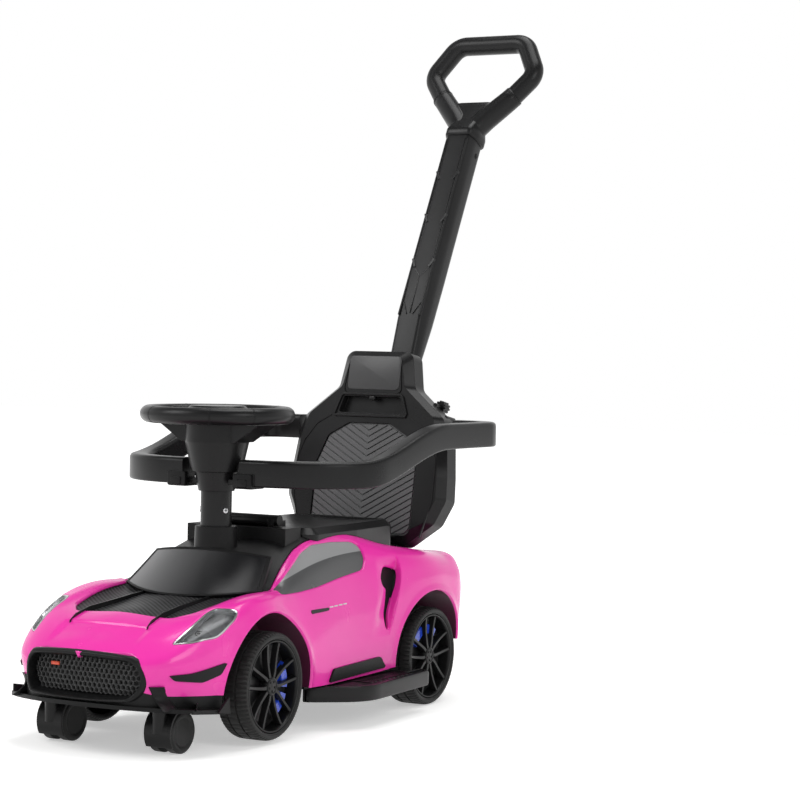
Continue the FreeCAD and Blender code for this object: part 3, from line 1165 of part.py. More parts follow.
def guard_path():
    corners = [V(sheet.guard_front_start, sheet.guard_front, 0),
               V(sheet.guard_half_width - sheet.guard_edge, sheet.guard_corner_front, 0),
               V(sheet.guard_half_width, sheet.guard_rear, 0),
               V(sheet.guard_end_across, sheet.guard_rear, 0)]
    bends = (0, sheet.guard_front_bend, sheet.guard_rear_bend, 0)
    spots = [corners[0]]
    for i in (1, 2):
        here = corners[i]
        back = (corners[i - 1] - here).normalize()
        ahead = (corners[i + 1] - here).normalize()
        half = back.getAngle(ahead) / 2
        centre = here + (back + ahead).normalize() * (bends[i] / math.sin(half))
        start = here + back * (bends[i] / math.tan(half)) - centre
        end = here + ahead * (bends[i] / math.tan(half)) - centre
        turn = start.getAngle(end)
        for step in range(bend_steps + 1):
            share = step / bend_steps
            spoke = start * math.sin((1 - share) * turn) + end * math.sin(share * turn)
            spots.append(centre + spoke * (1 / math.sin(turn)))
        if i == 1:
            straight_end = corners[2] + (corners[1] - corners[2]).normalize() * sheet.guard_rear_bend
            first = spots[-1]
            spots += [first + (straight_end - first) * (step / guard_steps) for step in range(1,
                    guard_steps)]
    spots.append(corners[3])
    return spots


def guard_height_at(place):
    share = (place - sheet.guard_rise_start) / (sheet.guard_rise_end - sheet.guard_rise_start)
    share = min(max(share, 0), 1)
    return sheet.guard_low + sheet.guard_rise * share * share * (3 - 2 * share)


def make_guard_rail():
    spots = guard_path()
    half = sheet.guard_width / 2
    edge = sheet.guard_edge
    tall = sheet.guard_height
    section = [(-half, 0), (half, 0), (half, tall - edge), (half - edge, tall), (edge - half, tall),
               (-half, tall - edge)]
    wires = []
    for i, spot in enumerate(spots):
        ahead = (spots[min(i + 1, len(spots) - 1)] - spots[max(i - 1, 0)]).normalize()
        side = V(ahead.y, -ahead.x, 0)
        base = V(spot.x, spot.y, guard_height_at(spot.y))
        wires.append(rounded([base + side * a + up * b for a, b in section], 0))
    arm = Part.makeLoft(wires, True, True)
    plate_room = box(0, sheet.bracket_half + sheet.part_clearance,
                     sheet.column_place - sheet.bracket_depth / 2 - sheet.part_clearance,
                     sheet.column_place + sheet.bracket_depth / 2 + sheet.part_clearance, 0,
                     sheet.tube_top + sheet.bracket_thickness + sheet.part_clearance)
    peg_room = Part.makeCylinder(sheet.peg_radius + sheet.part_clearance,
                                 sheet.peg_height + sheet.part_clearance,
                                 V(sheet.peg_place, sheet.column_place,
                                   sheet.tube_top + sheet.bracket_thickness))
    arm = arm.cut([plate_room, peg_room, lean_back(back_block(sheet.part_clearance))])
    arm = max(arm.Solids, key=lambda solid: solid.Volume)
    add_shape("guard_rail", Part.makeCompound([arm, mirrored(arm)]))


# Push handle

def make_handle_stem():
    foot = -sheet.stem_length
    stem = Part.makeLoft([handle_section(0, foot), handle_section(sheet.stem_taper / 2, 0)], True, True)
    spigot = Part.Face(handle_section(sheet.stem_taper / 2 + sheet.seat_clearance,
                                      0)).extrude(up * (sheet.collar_height - sheet.collar_wall))
    grooves = []
    front = -sheet.stem_depth / 2
    for _, sign in sides:
        place = sign * (sheet.stem_width / 2 - sheet.stem_groove_inset)
        grooves.append(box(place - sheet.stem_groove / 2, place + sheet.stem_groove / 2,
                           front - sheet.stem_groove_depth,
                           front + sheet.stem_groove_depth + sheet.stem_taper / 2,
                           foot + sheet.socket_length + sheet.stem_width,
                           -sheet.stem_width / 2))
    well = Part.makeCylinder(sheet.snap_radius + sheet.part_clearance, sheet.snap_length + sheet.snap_proud,
                             V(sheet.stem_width / 2 - sheet.snap_length, 0, -sheet.snap_down), across)
    add_shape("handle_stem", lean_handle(stem.fuse(spigot).cut(grooves + [well])))


def make_snap_button():
    start = sheet.stem_width / 2 - sheet.snap_length + sheet.snap_proud
    body = Part.makeCylinder(sheet.snap_radius, sheet.snap_length - sheet.snap_proud,
                             V(start, 0, -sheet.snap_down), across)
    tip = Part.makeCone(sheet.snap_radius, sheet.snap_radius / 2, sheet.snap_proud / 2,
                        V(sheet.stem_width / 2, 0, -sheet.snap_down), across)
    add_shape("snap_button", lean_handle(body.fuse(tip)))


def grip_corners():
    half = [V(sheet.grip_end_across, 0, sheet.grip_end_height),
            V(sheet.grip_side, 0, sheet.grip_side_height),
            V(sheet.grip_top_half, 0, sheet.grip_top)]
    return half + [V(-point.x, 0, point.z) for point in reversed(half)]


def make_handle_grip():
    corners = grip_corners()
    path = rounded(corners, sheet.grip_bend, closed=False)
    ahead = (corners[1] - corners[0]).normalize()
    ring = Part.Wire(Part.Circle(corners[0], ahead, sheet.grip_tube).toShape())
    tube = path.makePipeShell([ring], True, False)
    add_shape("handle_grip", lean_handle(tube))


def make_handle_yoke():
    collar = Part.Face(handle_section(-sheet.collar_wall,
                                      -sheet.collar_height / 2)).extrude(up * (sheet.collar_height * 2))
    arms = []
    ahead = V(sheet.grip_end_across - sheet.yoke_arm_start, 0,
              sheet.grip_end_height - sheet.yoke_root_height)
    inward = sheet.grip_tube
    for _, sign in sides:
        root = V(sign * sheet.yoke_arm_start, 0, sheet.yoke_root_height)
        run = V(sign * ahead.x, 0, ahead.z)
        arms.append(Part.makeCylinder(sheet.yoke_arm_radius, ahead.Length, root, run))
    web_points = both_sides([V(sheet.yoke_arm_start, 0, sheet.yoke_root_height - sheet.collar_height),
                             V(sheet.yoke_web_half, 0, sheet.yoke_web_top)])
    web = Part.Face(rounded(web_points, 0)).extrude(along * sheet.yoke_web)
    web.translate(along * (-sheet.yoke_web / 2))
    root_ball = Part.makeSphere(sheet.yoke_arm_radius, V(0, 0, sheet.yoke_root_height))
    yoke = collar.fuse(arms + [web, root_ball])
    socket_depth = sheet.collar_height * 2 - sheet.collar_wall + sheet.seat_clearance
    socket = Part.Face(handle_section(sheet.stem_taper / 2, -sheet.collar_height)).extrude(up * socket_depth)
    stem_room = Part.Face(handle_section(sheet.stem_taper / 2 - sheet.seat_clearance,
                                         -sheet.collar_height)).extrude(up * sheet.collar_height)
    snap_room = Part.makeCylinder(sheet.snap_radius + sheet.part_clearance, sheet.stem_width,
                                  V(0, 0, -sheet.snap_down), across)
    corners = grip_corners()
    grips = []
    grip_way = (corners[1] - corners[0]).normalize()
    for sign, corner in ((1, corners[0]), (-1, corners[-1])):
        way = V(sign * grip_way.x, 0, grip_way.z)
        grips.append(Part.makeCylinder(sheet.grip_tube + sheet.seat_clearance, inward * 2, corner, way))
    add_shape("handle_yoke", lean_handle(yoke.cut(grips + [socket, stem_room, snap_room])))


# Foot trays hooked under the sills

def make_footrest(name, sign):
    body = new_body("footrest_" + name)
    low = "pan_low - part_clearance - foot_thickness"

    def tray_loop(wall):
        inner = "%d * (pan_half_width - foot_hook + %s)" % (sign, wall)
        outer = "%d * (pan_half_width + foot_reach - %s)" % (sign, wall)
        outer_rear = "%d * (pan_half_width + foot_reach_rear - %s)" % (sign, wall)
        notch = "%d * (pan_half_width + foot_notch + %s)" % (sign, wall)
        bend = "%d * (pan_half_width + foot_reach - foot_corner - %s)" % (sign, wall)
        bend_middle = "%d * (pan_half_width + foot_reach - foot_corner / 4 - %s)" % (sign, wall)
        front = "foot_front + " + wall
        return [(inner, front), (bend, front), (bend_middle, front + " + foot_corner / 4"),
                (outer, front + " + foot_corner"),
                (outer_rear, "foot_rear_outer - " + wall), (notch, "foot_rear_outer - " + wall),
                (notch, "foot_rear - " + wall),
                (inner, "foot_rear - " + wall)]
    sketch = new_sketch(body, "XY_Plane", low)
    add_loop(sketch, tray_loop("0"))
    add_pad(body, sketch, "foot_thickness")
    below = new_sketch(body, "XY_Plane", low)
    add_loop(below, tray_loop("foot_wall"))
    hollow = add_pad(body, below, "foot_thickness - foot_wall", "PartDesign::Pocket")
    hollow.Reversed = True
    slots = new_sketch(body, "XY_Plane", low)
    start = "%d * (pan_half_width + foot_slot_inset)" % sign
    end = "%d * (pan_half_width + foot_reach_rear - foot_slot_inset)" % sign
    for number in range(int(sheet.foot_slot_count)):
        place = "foot_slot_start + %d * foot_slot_pitch" % number
        add_loop(slots, [(start, place), (end, place), (end, place + " + foot_slot_width"),
                         (start, place + " + foot_slot_width")])
    cut = add_pad(body, slots, "foot_thickness * 2", "PartDesign::Pocket")
    cut.Reversed = True


make_body_shell()
make_trims()
make_top_deck()
make_grille()
make_front_splitter()
make_floor_pan()
for side_name, side_sign in sides:
    make_knuckle(side_name, side_sign)
    make_wheel_button(side_name, side_sign)
    make_caster(side_name, side_sign)
    make_guard_knob(side_name, side_sign)
    make_footrest(side_name, side_sign)
make_tie_rod()
make_steering_shaft()
make_column_tube()
make_guard_bracket()
make_steering_wheel()
for corner_name, corner_sign, corner_rear in wheel_corners:
    make_tyre(corner_name, corner_sign, corner_rear)
    make_rim(corner_name, corner_sign, corner_rear)
    make_brake_disc(corner_name, corner_sign, corner_rear)
make_rear_axle()
make_seat_lid()
make_hinge_rod()
make_backrest_shell()
make_backrest_panel()
make_backrest_cover()
make_guard_rail()
make_handle_stem()
make_handle_yoke()
make_handle_grip()
make_snap_button()
doc.recompute()

for item in doc.Objects:
    if "Invalid" in item.State or "Error" in item.State:
        raise RuntimeError("%s failed: %s" % (item.Label, item.State))
for piece in pieces:
    if piece.Shape.isNull() or not piece.Shape.isValid():
        raise RuntimeError("%s has no valid shape" % piece.Label)

# The whole car's middle is over the origin
low_end = min(piece.Shape.BoundBox.YMin for piece in pieces)
high_end = max(piece.Shape.BoundBox.YMax for piece in pieces)
middle_shift = V(0, -(low_end + high_end) / 2, 0)
print("pieces", len(pieces), "shift", middle_shift.y)
os.makedirs("parts", exist_ok=True)
for piece in pieces:
    shape = piece.Shape.copy()
    shape.translate(middle_shift)
    shape.exportStep("parts/%s.step" % piece.Label)
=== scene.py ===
import bmesh
import bpy
import math
import numpy as np
from mathutils import Matrix, Vector
from mathutils.bvhtree import BVHTree


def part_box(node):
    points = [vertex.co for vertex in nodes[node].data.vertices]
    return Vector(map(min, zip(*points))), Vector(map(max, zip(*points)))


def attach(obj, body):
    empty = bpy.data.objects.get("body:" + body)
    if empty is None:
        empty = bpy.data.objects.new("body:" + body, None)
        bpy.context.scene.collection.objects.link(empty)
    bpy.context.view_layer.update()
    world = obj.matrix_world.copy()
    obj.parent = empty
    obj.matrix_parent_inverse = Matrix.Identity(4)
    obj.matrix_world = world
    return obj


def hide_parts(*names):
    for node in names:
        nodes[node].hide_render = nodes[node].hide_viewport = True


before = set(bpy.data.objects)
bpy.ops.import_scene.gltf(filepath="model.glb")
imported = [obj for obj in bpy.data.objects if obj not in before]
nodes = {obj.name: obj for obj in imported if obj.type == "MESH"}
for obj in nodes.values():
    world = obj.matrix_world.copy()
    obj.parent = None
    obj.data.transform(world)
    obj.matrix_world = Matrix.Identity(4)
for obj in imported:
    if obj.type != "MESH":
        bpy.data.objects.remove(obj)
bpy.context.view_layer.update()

scene = bpy.context.scene
scene.view_settings.view_transform = "Standard"

# sizes are in millimetres from the front axle, as on the drawing; place() gives metres in the shared frame
wheelbase = 385
rearAxleLow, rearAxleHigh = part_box("rear_axle")
yShift = (rearAxleLow[1] + rearAxleHigh[1]) / 2 - wheelbase / 1000


def place(x, y, z):
    return Vector((x / 1000, y / 1000 + yShift, z / 1000))


# camera at the photograph's angle
cameraSet = {
    "azimuth": 29.767, "elevation": 1.575, "roll": 1.024, "distance": 3.4446, "aim": (0, 541.8, 397.9),
    "focalPixels": 2447, "pictureWide": 800, "sensorWide": 36, "clipEnd": 50,
}


def buildCamera(s):
    a, e, r = (math.radians(s[k]) for k in ("azimuth", "elevation", "roll"))
    back = Vector((math.sin(a) * math.cos(e), -math.cos(a) * math.cos(e), math.sin(e)))
    right = Vector((math.cos(a), math.sin(a), 0))
    upward = back.cross(right)
    rolledRight = right * math.cos(r) + upward * math.sin(r)
    rolledUp = upward * math.cos(r) - right * math.sin(r)
    data = bpy.data.cameras.new("photoCamera")
    data.sensor_width = s["sensorWide"]
    data.lens = s["focalPixels"] / s["pictureWide"] * s["sensorWide"]
    data.clip_end = s["clipEnd"]
    camera = bpy.data.objects.new("photoCamera", data)
    turn = Matrix((rolledRight, rolledUp, back)).transposed().to_4x4()
    camera.matrix_world = Matrix.Translation(place(*s["aim"]) + back * s["distance"]) @ turn
    scene.collection.objects.link(camera)
    scene.camera = camera


buildCamera(cameraSet)


# an input takes a number, a colour or another node's output
def feed(tree, node, inputs):
    for label, value in inputs.items():
        if isinstance(value, bpy.types.NodeSocket):
            tree.links.new(value, node.inputs[label])
        else:
            node.inputs[label].default_value = value


def addNode(tree, kind, inputs=None, **settings):
    node = tree.nodes.new(kind)
    for label, value in settings.items():
        setattr(node, label, value)
    feed(tree, node, inputs or {})
    return node


def mathNode(tree, operation, *values):
    return addNode(tree, "ShaderNodeMath", dict(enumerate(values)), operation=operation).outputs[0]


def rangeNode(tree, value, given, wanted=(0.0, 1.0), kind="SMOOTHSTEP"):
    labels = ("Value", "From Min", "From Max", "To Min", "To Max")
    inputs = dict(zip(labels, (value, *given, *wanted)))
    return addNode(tree, "ShaderNodeMapRange", inputs, interpolation_type=kind).outputs["Result"]


def blendNode(tree, share, first, second):
    inputs = {"Factor": share, "A": first, "B": second}
    return addNode(tree, "ShaderNodeMix", inputs, data_type="RGBA").outputs["Result"]


# studio: white floor that keeps the shadow, soft boxes, white walls that fade to a dim ceiling
studioSet = {
    "floorHalf": 9.0, "floorColour": (0.86, 0.86, 0.85, 1), "floorGlow": 0.42,
    "farGlow": 0.85, "glowStart": 0.55, "glowEnd": 2.2,
    "wallTop": 0.30, "ceilingStart": 0.75, "ceiling": 0.22,
    # place, aim, size, watts
    "lamps": (
        ((-1.7, -2.0, 2.6), (0, 0, 0.25), 1.6, 44),
        ((2.8, -1.0, 2.0), (0, 0, 0.3), 1.4, 20),
        ((0.2, 0.6, 3.2), (0, 0, 0.2), 2.0, 52),
    ),
}


def seenRays(tree):
    paths = addNode(tree, "ShaderNodeLightPath").outputs
    seen = mathNode(tree, "MAXIMUM", paths["Is Camera Ray"], paths["Is Transmission Ray"])
    return mathNode(tree, "MAXIMUM", seen, paths["Is Glossy Ray"])


def buildFloor(s):
    half = s["floorHalf"]
    mesh = bpy.data.meshes.new("studioFloor")
    corners = [(-half, -half, 0), (half, -half, 0), (half, half, 0), (-half, half, 0)]
    mesh.from_pydata(corners, [], [(0, 1, 2, 3)])
    floor = bpy.data.objects.new("studioFloor", mesh)
    scene.collection.objects.link(floor)
    mat = bpy.data.materials.new("studioFloor")
    mat.use_nodes = True
    tree = mat.node_tree
    tree.nodes.remove(tree.nodes["Principled BSDF"])
    paint = addNode(tree, "ShaderNodeBsdfDiffuse", {"Color": s["floorColour"]})
    spot = addNode(tree, "ShaderNodeTexCoord").outputs["Object"]
    away = addNode(tree, "ShaderNodeVectorMath", {0: spot}, operation="LENGTH").outputs["Value"]
    level = rangeNode(tree, away, (s["glowStart"], s["glowEnd"]), (s["floorGlow"], s["farGlow"]))
    strength = mathNode(tree, "MULTIPLY", seenRays(tree), level)
    glow = addNode(tree, "ShaderNodeEmission", {"Strength": strength})
    both = addNode(tree, "ShaderNodeAddShader", {0: paint.outputs[0], 1: glow.outputs[0]})
    tree.links.new(both.outputs[0], tree.nodes["Material Output"].inputs["Surface"])
    mesh.materials.append(mat)


def buildLight(s):
    world = bpy.data.worlds.new("studio")
    scene.world = world
    world.use_nodes = True
    tree = world.node_tree
    facing = addNode(tree, "ShaderNodeTexCoord").outputs["Generated"]
    upward = addNode(tree, "ShaderNodeSeparateXYZ", {0: facing}).outputs["Z"]
    level = rangeNode(tree, upward, (s["wallTop"], s["ceilingStart"]), (1.0, s["ceiling"]))
    feed(tree, tree.nodes["Background"], {"Color": (1, 1, 1, 1), "Strength": level})
    for number, (spot, aim, size, watts) in enumerate(s["lamps"]):
        data = bpy.data.lights.new("softBox%d" % number, "AREA")
        data.size = size
        data.energy = watts
        lamp = bpy.data.objects.new("softBox%d" % number, data)
        lamp.location = spot
        lamp.rotation_euler = (Vector(aim) - Vector(spot)).to_track_quat("-Z", "Y").to_euler()
        scene.collection.objects.link(lamp)


buildFloor(studioSet)
buildLight(studioSet)
print("studio ready")

# shader groups shared by the finishes
black, white = (0, 0, 0, 1), (1, 1, 1, 1)


def newGroup(name, inputs, outputs):
    group = bpy.data.node_groups.new(name, "ShaderNodeTree")
    for label, start in inputs.items():
        kind = "NodeSocketFloat" if isinstance(start, float) else "NodeSocketColor"
        group.interface.new_socket(label, in_out="INPUT", socket_type=kind).default_value = start
    for label, kind in outputs.items():
        group.interface.new_socket(label, in_out="OUTPUT", socket_type="NodeSocket" + kind)
    start = addNode(group, "NodeGroupInput").outputs
    end = addNode(group, "NodeGroupOutput")
    return group, start, end, addNode(group, "ShaderNodeTexCoord").outputs["Object"]


def noiseNode(tree, spot, scale, detail):
    inputs = {"Vector": spot, "Scale": scale, "Detail": detail}
    return addNode(tree, "ShaderNodeTexNoise", inputs).outputs["Fac"]


# spark-eroded mould grain: fine pits over a broad unevenness
grainSet = {
    "inputs": {"Scale": 900.0, "Rough Low": 0.4, "Rough High": 0.55}, "fineDetail": 3, "fineShare": 0.55,
    "broadScale": 14, "broadDetail": 5, "broadRange": (0.3, 0.7),
}


def buildMouldGrain(s):
    group, start, end, spot = newGroup("mouldGrain", s["inputs"], {"Height": "Float", "Roughness": "Float"})
    fine = noiseNode(group, spot, start["Scale"], s["fineDetail"])
    cells = {"Vector": spot, "Scale": start["Scale"]}
    pits = addNode(group, "ShaderNodeTexVoronoi", cells, feature="SMOOTH_F1").outputs["Distance"]
    height = mathNode(group, "MULTIPLY_ADD", fine, s["fineShare"], pits)
    broad = noiseNode(group, spot, s["broadScale"], s["broadDetail"])
    rough = rangeNode(group, broad, s["broadRange"], (start["Rough Low"], start["Rough High"]), "LINEAR")
    feed(group, end, {"Height": height, "Roughness": rough})
    return group


# slow colour drift in the moulding
driftSet = {"inputs": {"Dark": black, "Light": white, "Scale": 9.0}, "detail": 4, "range": (0.35, 0.65)}


def buildToneDrift(s):
    group, start, end, spot = newGroup("toneDrift", s["inputs"], {"Color": "Color"})
    noise = noiseNode(group, spot, start["Scale"], s["detail"])
    share = rangeNode(group, noise, s["range"], kind="LINEAR")
    feed(group, end, {"Color": blendNode(group, share, start["Dark"], start["Light"])})
    return group


# woven sheet: two runs of slanted strips that cross
weaveSet = {"inputs": {"Dark": black, "Light": white, "Scale": 240.0}, "slant": math.radians(38)}


def buildWeave(s):
    group, start, end, spot = newGroup("weave", s["inputs"], {"Color": "Color", "Height": "Float"})
    slant = {"Vector": spot, "Rotation": (0, 0, s["slant"])}
    turned = addNode(group, "ShaderNodeMapping", slant).outputs["Vector"]
    strip = {"Vector": turned, "Scale": start["Scale"], "Distortion": 0}
    strips = [addNode(group, "ShaderNodeTexWave", strip, bands_direction=way, wave_profile="SIN")
              for way in ("X", "Y")]
    cross = mathNode(group, "MULTIPLY", *(node.outputs["Fac"] for node in strips))
    feed(group, end, {"Color": blendNode(group, cross, start["Dark"], start["Light"]), "Height": cross})
    return group


mouldGrain = buildMouldGrain(grainSet)
toneDrift = buildToneDrift(driftSet)
weave = buildWeave(weaveSet)


# a finish with the mould's grain in its roughness
def newFinish(name, scale, rough):
    mat = bpy.data.materials.new(name)
    mat.use_nodes = True
    tree = mat.node_tree
    inputs = {"Scale": scale, "Rough Low": rough[0], "Rough High": rough[1]}
    grain = addNode(tree, "ShaderNodeGroup", inputs, node_tree=mouldGrain).outputs
    bsdf = tree.nodes["Principled BSDF"]
    feed(tree, bsdf, {"Roughness": grain["Roughness"]})
    return mat, tree, bsdf, grain["Height"]


# grain over edges that are rounded in the shading by a moulding's radius
def addBump(tree, bsdf, height, strength, distance, edge=0.0):
    inputs = {"Strength": strength, "Distance": distance, "Height": height}
    if edge:
        inputs["Normal"] = addNode(tree, "ShaderNodeBevel", {"Radius": edge}, samples=4).outputs["Normal"]
    feed(tree, bsdf, {"Normal": addNode(tree, "ShaderNodeBump", inputs).outputs["Normal"]})


# one moulded plastic: two tones, grain, roughness range
plasticSet = {"toneScale": 7.0, "bumpDeep": 0.0004, "coatRough": 0.06}


def mouldedPlastic(name, dark, light, scale, rough, bump, coat=0.0, metal=0.0, edge=0.0, shine=0.5):
    mat, tree, bsdf, height = newFinish(name, scale, rough)
    tones = {"Dark": (*dark, 1), "Light": (*light, 1), "Scale": plasticSet["toneScale"]}
    tone = addNode(tree, "ShaderNodeGroup", tones, node_tree=toneDrift).outputs["Color"]
    addBump(tree, bsdf, height, bump, plasticSet["bumpDeep"], edge)
    feed(tree, bsdf, {"Base Color": tone, "Specular IOR Level": shine, "Metallic": metal})
    feed(tree, bsdf, {"Coat Weight": coat, "Coat Roughness": plasticSet["coatRough"]})
    return mat


# name: dark tone, light tone, grain scale, roughness range, bump, coat, metal, edge radius, shine
finishSet = {
    "pinkGloss": ((0.80, 0.028, 0.36), (0.86, 0.036, 0.40), 260, (0.2, 0.28), 0.02, 0.3, 0, 0, 0.3),
    # archDark: the pink inside the arches and wells darkened to maroon, painted shade
    "archDark": ((0.060, 0.004, 0.025), (0.085, 0.006, 0.036), 500, (0.4, 0.55), 0.1),
    "blackGrain": ((0.006, 0.006, 0.0063), (0.009, 0.009, 0.0093), 1100, (0.34, 0.46), 0.2, 0, 0,
                   0.0009, 0.15),
    "blackSatin": ((0.007, 0.007, 0.0073), (0.011, 0.011, 0.0114), 700, (0.26, 0.36), 0.08, 0, 0,
                   0.0012, 0.2),
    "blackGloss": ((0.006, 0.006, 0.0065), (0.009, 0.009, 0.0095), 300, (0.16, 0.26), 0.03, 0, 0,
                   0.0008, 0.3),
    "headGrey": ((0.040, 0.040, 0.041), (0.052, 0.052, 0.053), 800, (0.3, 0.4), 0.1, 0, 0, 0.0008, 0.35),
    # combGrey: the black honeycomb drawn mid grey, a painted highlight along its bars
    "combGrey": ((0.075, 0.075, 0.076), (0.11, 0.11, 0.111), 600, (0.24, 0.34), 0.05, 0, 0, 0.0004, 0.5),
    "panelGrey": ((0.080, 0.080, 0.082), (0.10, 0.10, 0.103), 900, (0.36, 0.48), 0.15, 0, 0, 0.0006, 0.4),
    "tyreBlack": ((0.008, 0.008, 0.008), (0.013, 0.0128, 0.0125), 800, (0.5, 0.68), 0.25, 0, 0, 0.0006, 0.35),
    "rimBlack": ((0.005, 0.005, 0.0053), (0.008, 0.008, 0.0084), 500, (0.26, 0.36), 0.05, 0, 0, 0.0006, 0.22),
    "steelRod": ((0.42, 0.42, 0.43), (0.55, 0.55, 0.56), 500, (0.25, 0.4), 0.05, 0.0, 1.0),
    "silverEdge": ((0.50, 0.51, 0.52), (0.62, 0.63, 0.64), 400, (0.14, 0.22), 0.04, 0.3, 0.85),
    "lampGrey": ((0.060, 0.061, 0.063), (0.150, 0.153, 0.156), 220, (0.16, 0.3), 0.1, 0.1, 0.25, 0, 0.35),
    "caliperBlue": ((0.010, 0.045, 0.42), (0.014, 0.06, 0.55), 400, (0.2, 0.3), 0.05, 0.3),
    "tabOrange": ((0.66, 0.07, 0.03), (0.74, 0.09, 0.04), 400, (0.3, 0.4), 0.05),
    "lampRed": ((0.30, 0.008, 0.010), (0.40, 0.012, 0.014), 300, (0.1, 0.18), 0.03, 0.8),
    "dashPale": ((0.55, 0.53, 0.54), (0.66, 0.64, 0.65), 400, (0.3, 0.4), 0.05),
}
finishes = {name: mouldedPlastic(name, *values) for name, values in finishSet.items()}

# finishes that are more than one plain plastic: roughness range, tones and bump of each
carbonSet = {"rough": (0.34, 0.44), "dark": (0.003, 0.003, 0.0033, 1), "light": (0.11, 0.11, 0.113, 1),
             "scale": 62.0, "bump": 0.12, "shine": 0.06}
# the side window's two tones meet on a curve: height = top - bend * (start - along) ** 2, in metres; the
# lighter tone above the curve is a painted reflection
sideSet = {"rough": (0.22, 0.3), "low": (0.075, 0.076, 0.078, 1), "high": (0.27, 0.273, 0.276, 1),
           "top": 0.2102, "bend": 0.667, "start": 0.268, "soft": 0.0006, "bump": 0.03}
# the windscreen's tone runs across the car, pale to dark: a painted sheen
frontSet = {"rough": (0.16, 0.22), "pale": (0.20, 0.201, 0.204, 1), "dark": (0.010, 0.010, 0.011, 1),
            "across": (-0.115, 0.06), "shine": 0.22, "bump": 0.02}
lensSet = {"rough": (0.02, 0.06), "tone": (0.92, 0.93, 0.94, 1), "bend": 1.12, "bump": 0.01, "grain": 200.0,
           "bumpDeep": 0.0002}
sheetGrain, sheetBump = 300.0, 0.0003


def buildCarbon(s):
    mat, tree, bsdf = newFinish("carbon", sheetGrain, s["rough"])[:3]
    tones = {"Dark": s["dark"], "Light": s["light"], "Scale": s["scale"]}
    cloth = addNode(tree, "ShaderNodeGroup", tones, node_tree=weave).outputs
    addBump(tree, bsdf, cloth["Height"], s["bump"], sheetBump)
    feed(tree, bsdf, {"Base Color": cloth["Color"], "Specular IOR Level": s["shine"]})
    return mat


def buildSideGlass(s):
    mat, tree, bsdf, height = newFinish("sideGlass", sheetGrain, s["rough"])
    spot = addNode(tree, "ShaderNodeTexCoord").outputs["Object"]
    parts = addNode(tree, "ShaderNodeSeparateXYZ", {0: spot}).outputs
    run = mathNode(tree, "SUBTRACT", s["start"] + yShift, parts["Y"])
    drop = mathNode(tree, "MULTIPLY", mathNode(tree, "MULTIPLY", run, run), s["bend"])
    edge = mathNode(tree, "SUBTRACT", s["top"], drop)
    over = mathNode(tree, "DIVIDE", mathNode(tree, "SUBTRACT", parts["Z"], edge), s["soft"])
    share = addNode(tree, "ShaderNodeClamp", {"Value": over}).outputs["Result"]
    addBump(tree, bsdf, height, s["bump"], sheetBump)
    # dark below the curve, lighter above it: a painted reflection
    feed(tree, bsdf, {"Base Color": blendNode(tree, share, s["low"], s["high"])})
    return mat


def buildScreenGlass(s):
    mat, tree, bsdf, height = newFinish("screenGlass", sheetGrain, s["rough"])
    spot = addNode(tree, "ShaderNodeNewGeometry").outputs["Position"]
    across = addNode(tree, "ShaderNodeSeparateXYZ", {0: spot}).outputs["X"]
    # pale to dark across the car: a painted sheen in the base colour
    tone = blendNode(tree, rangeNode(tree, across, s["across"]), s["pale"], s["dark"])
    addBump(tree, bsdf, height, s["bump"], sheetBump)
    feed(tree, bsdf, {"Base Color": tone, "Specular IOR Level": s["shine"]})
    return mat


def buildLensClear(s):
    mat, tree, bsdf, height = newFinish("lensClear", s["grain"], s["rough"])
    addBump(tree, bsdf, height, s["bump"], s["bumpDeep"])
    feed(tree, bsdf, {"Base Color": s["tone"], "Transmission Weight": 1.0, "IOR": s["bend"]})
    return mat


finishes["carbon"] = buildCarbon(carbonSet)
finishes["sideGlass"] = buildSideGlass(sideSet)
finishes["screenGlass"] = buildScreenGlass(frontSet)
finishes["lensClear"] = buildLensClear(lensSet)
print("finishes ready", len(finishes))


def linkPiece(name, mesh, body, replaced):
    piece = bpy.data.objects.new(name, mesh)
    scene.collection.objects.link(piece)
    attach(piece, body)
    if replaced:
        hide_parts(*replaced)


# a piece from points in millimetres; finishNames may name one finish per face group
def makePiece(name, points, faces, finishNames, replaced=(), body="car", groups=None, normals=None,
              sharp=None):
    points = np.asarray(points, float) / 1000
    points[:, 1] += yShift
    mesh = bpy.data.meshes.new(name)
    mesh.from_pydata(points.tolist(), [], faces)
    for finishName in [finishNames] if isinstance(finishNames, str) else finishNames:
        mesh.materials.append(finishes[finishName])
    mesh.polygons.foreach_set("use_smooth", [True] * len(faces))
    if groups is not None:
        mesh.polygons.foreach_set("material_index", groups)
    if normals is not None:
        mesh.normals_split_custom_set_from_vertices(np.asarray(normals).tolist())
    mesh.update()
    if sharp is not None:
        mesh.set_sharp_from_angle(angle=math.radians(sharp))
    linkPiece(name, mesh, body, replaced)


# quads of a grid of points, row by row; a loop closes the rows or each row's ends
def gridFaces(rows, wide, rowLoop=False, ringLoop=False, flip=False):
    faces = []
    for k in range(rows if rowLoop else rows - 1):
        near, far = k * wide, (k + 1) % rows * wide
        for j in range(wide if ringLoop else wide - 1):
            beside = (j + 1) % wide
            if flip:
                faces.append((near + j, near + beside, far + beside, far + j))
            else:
                faces.append((near + j, far + j, far + beside, near + beside))
    return faces


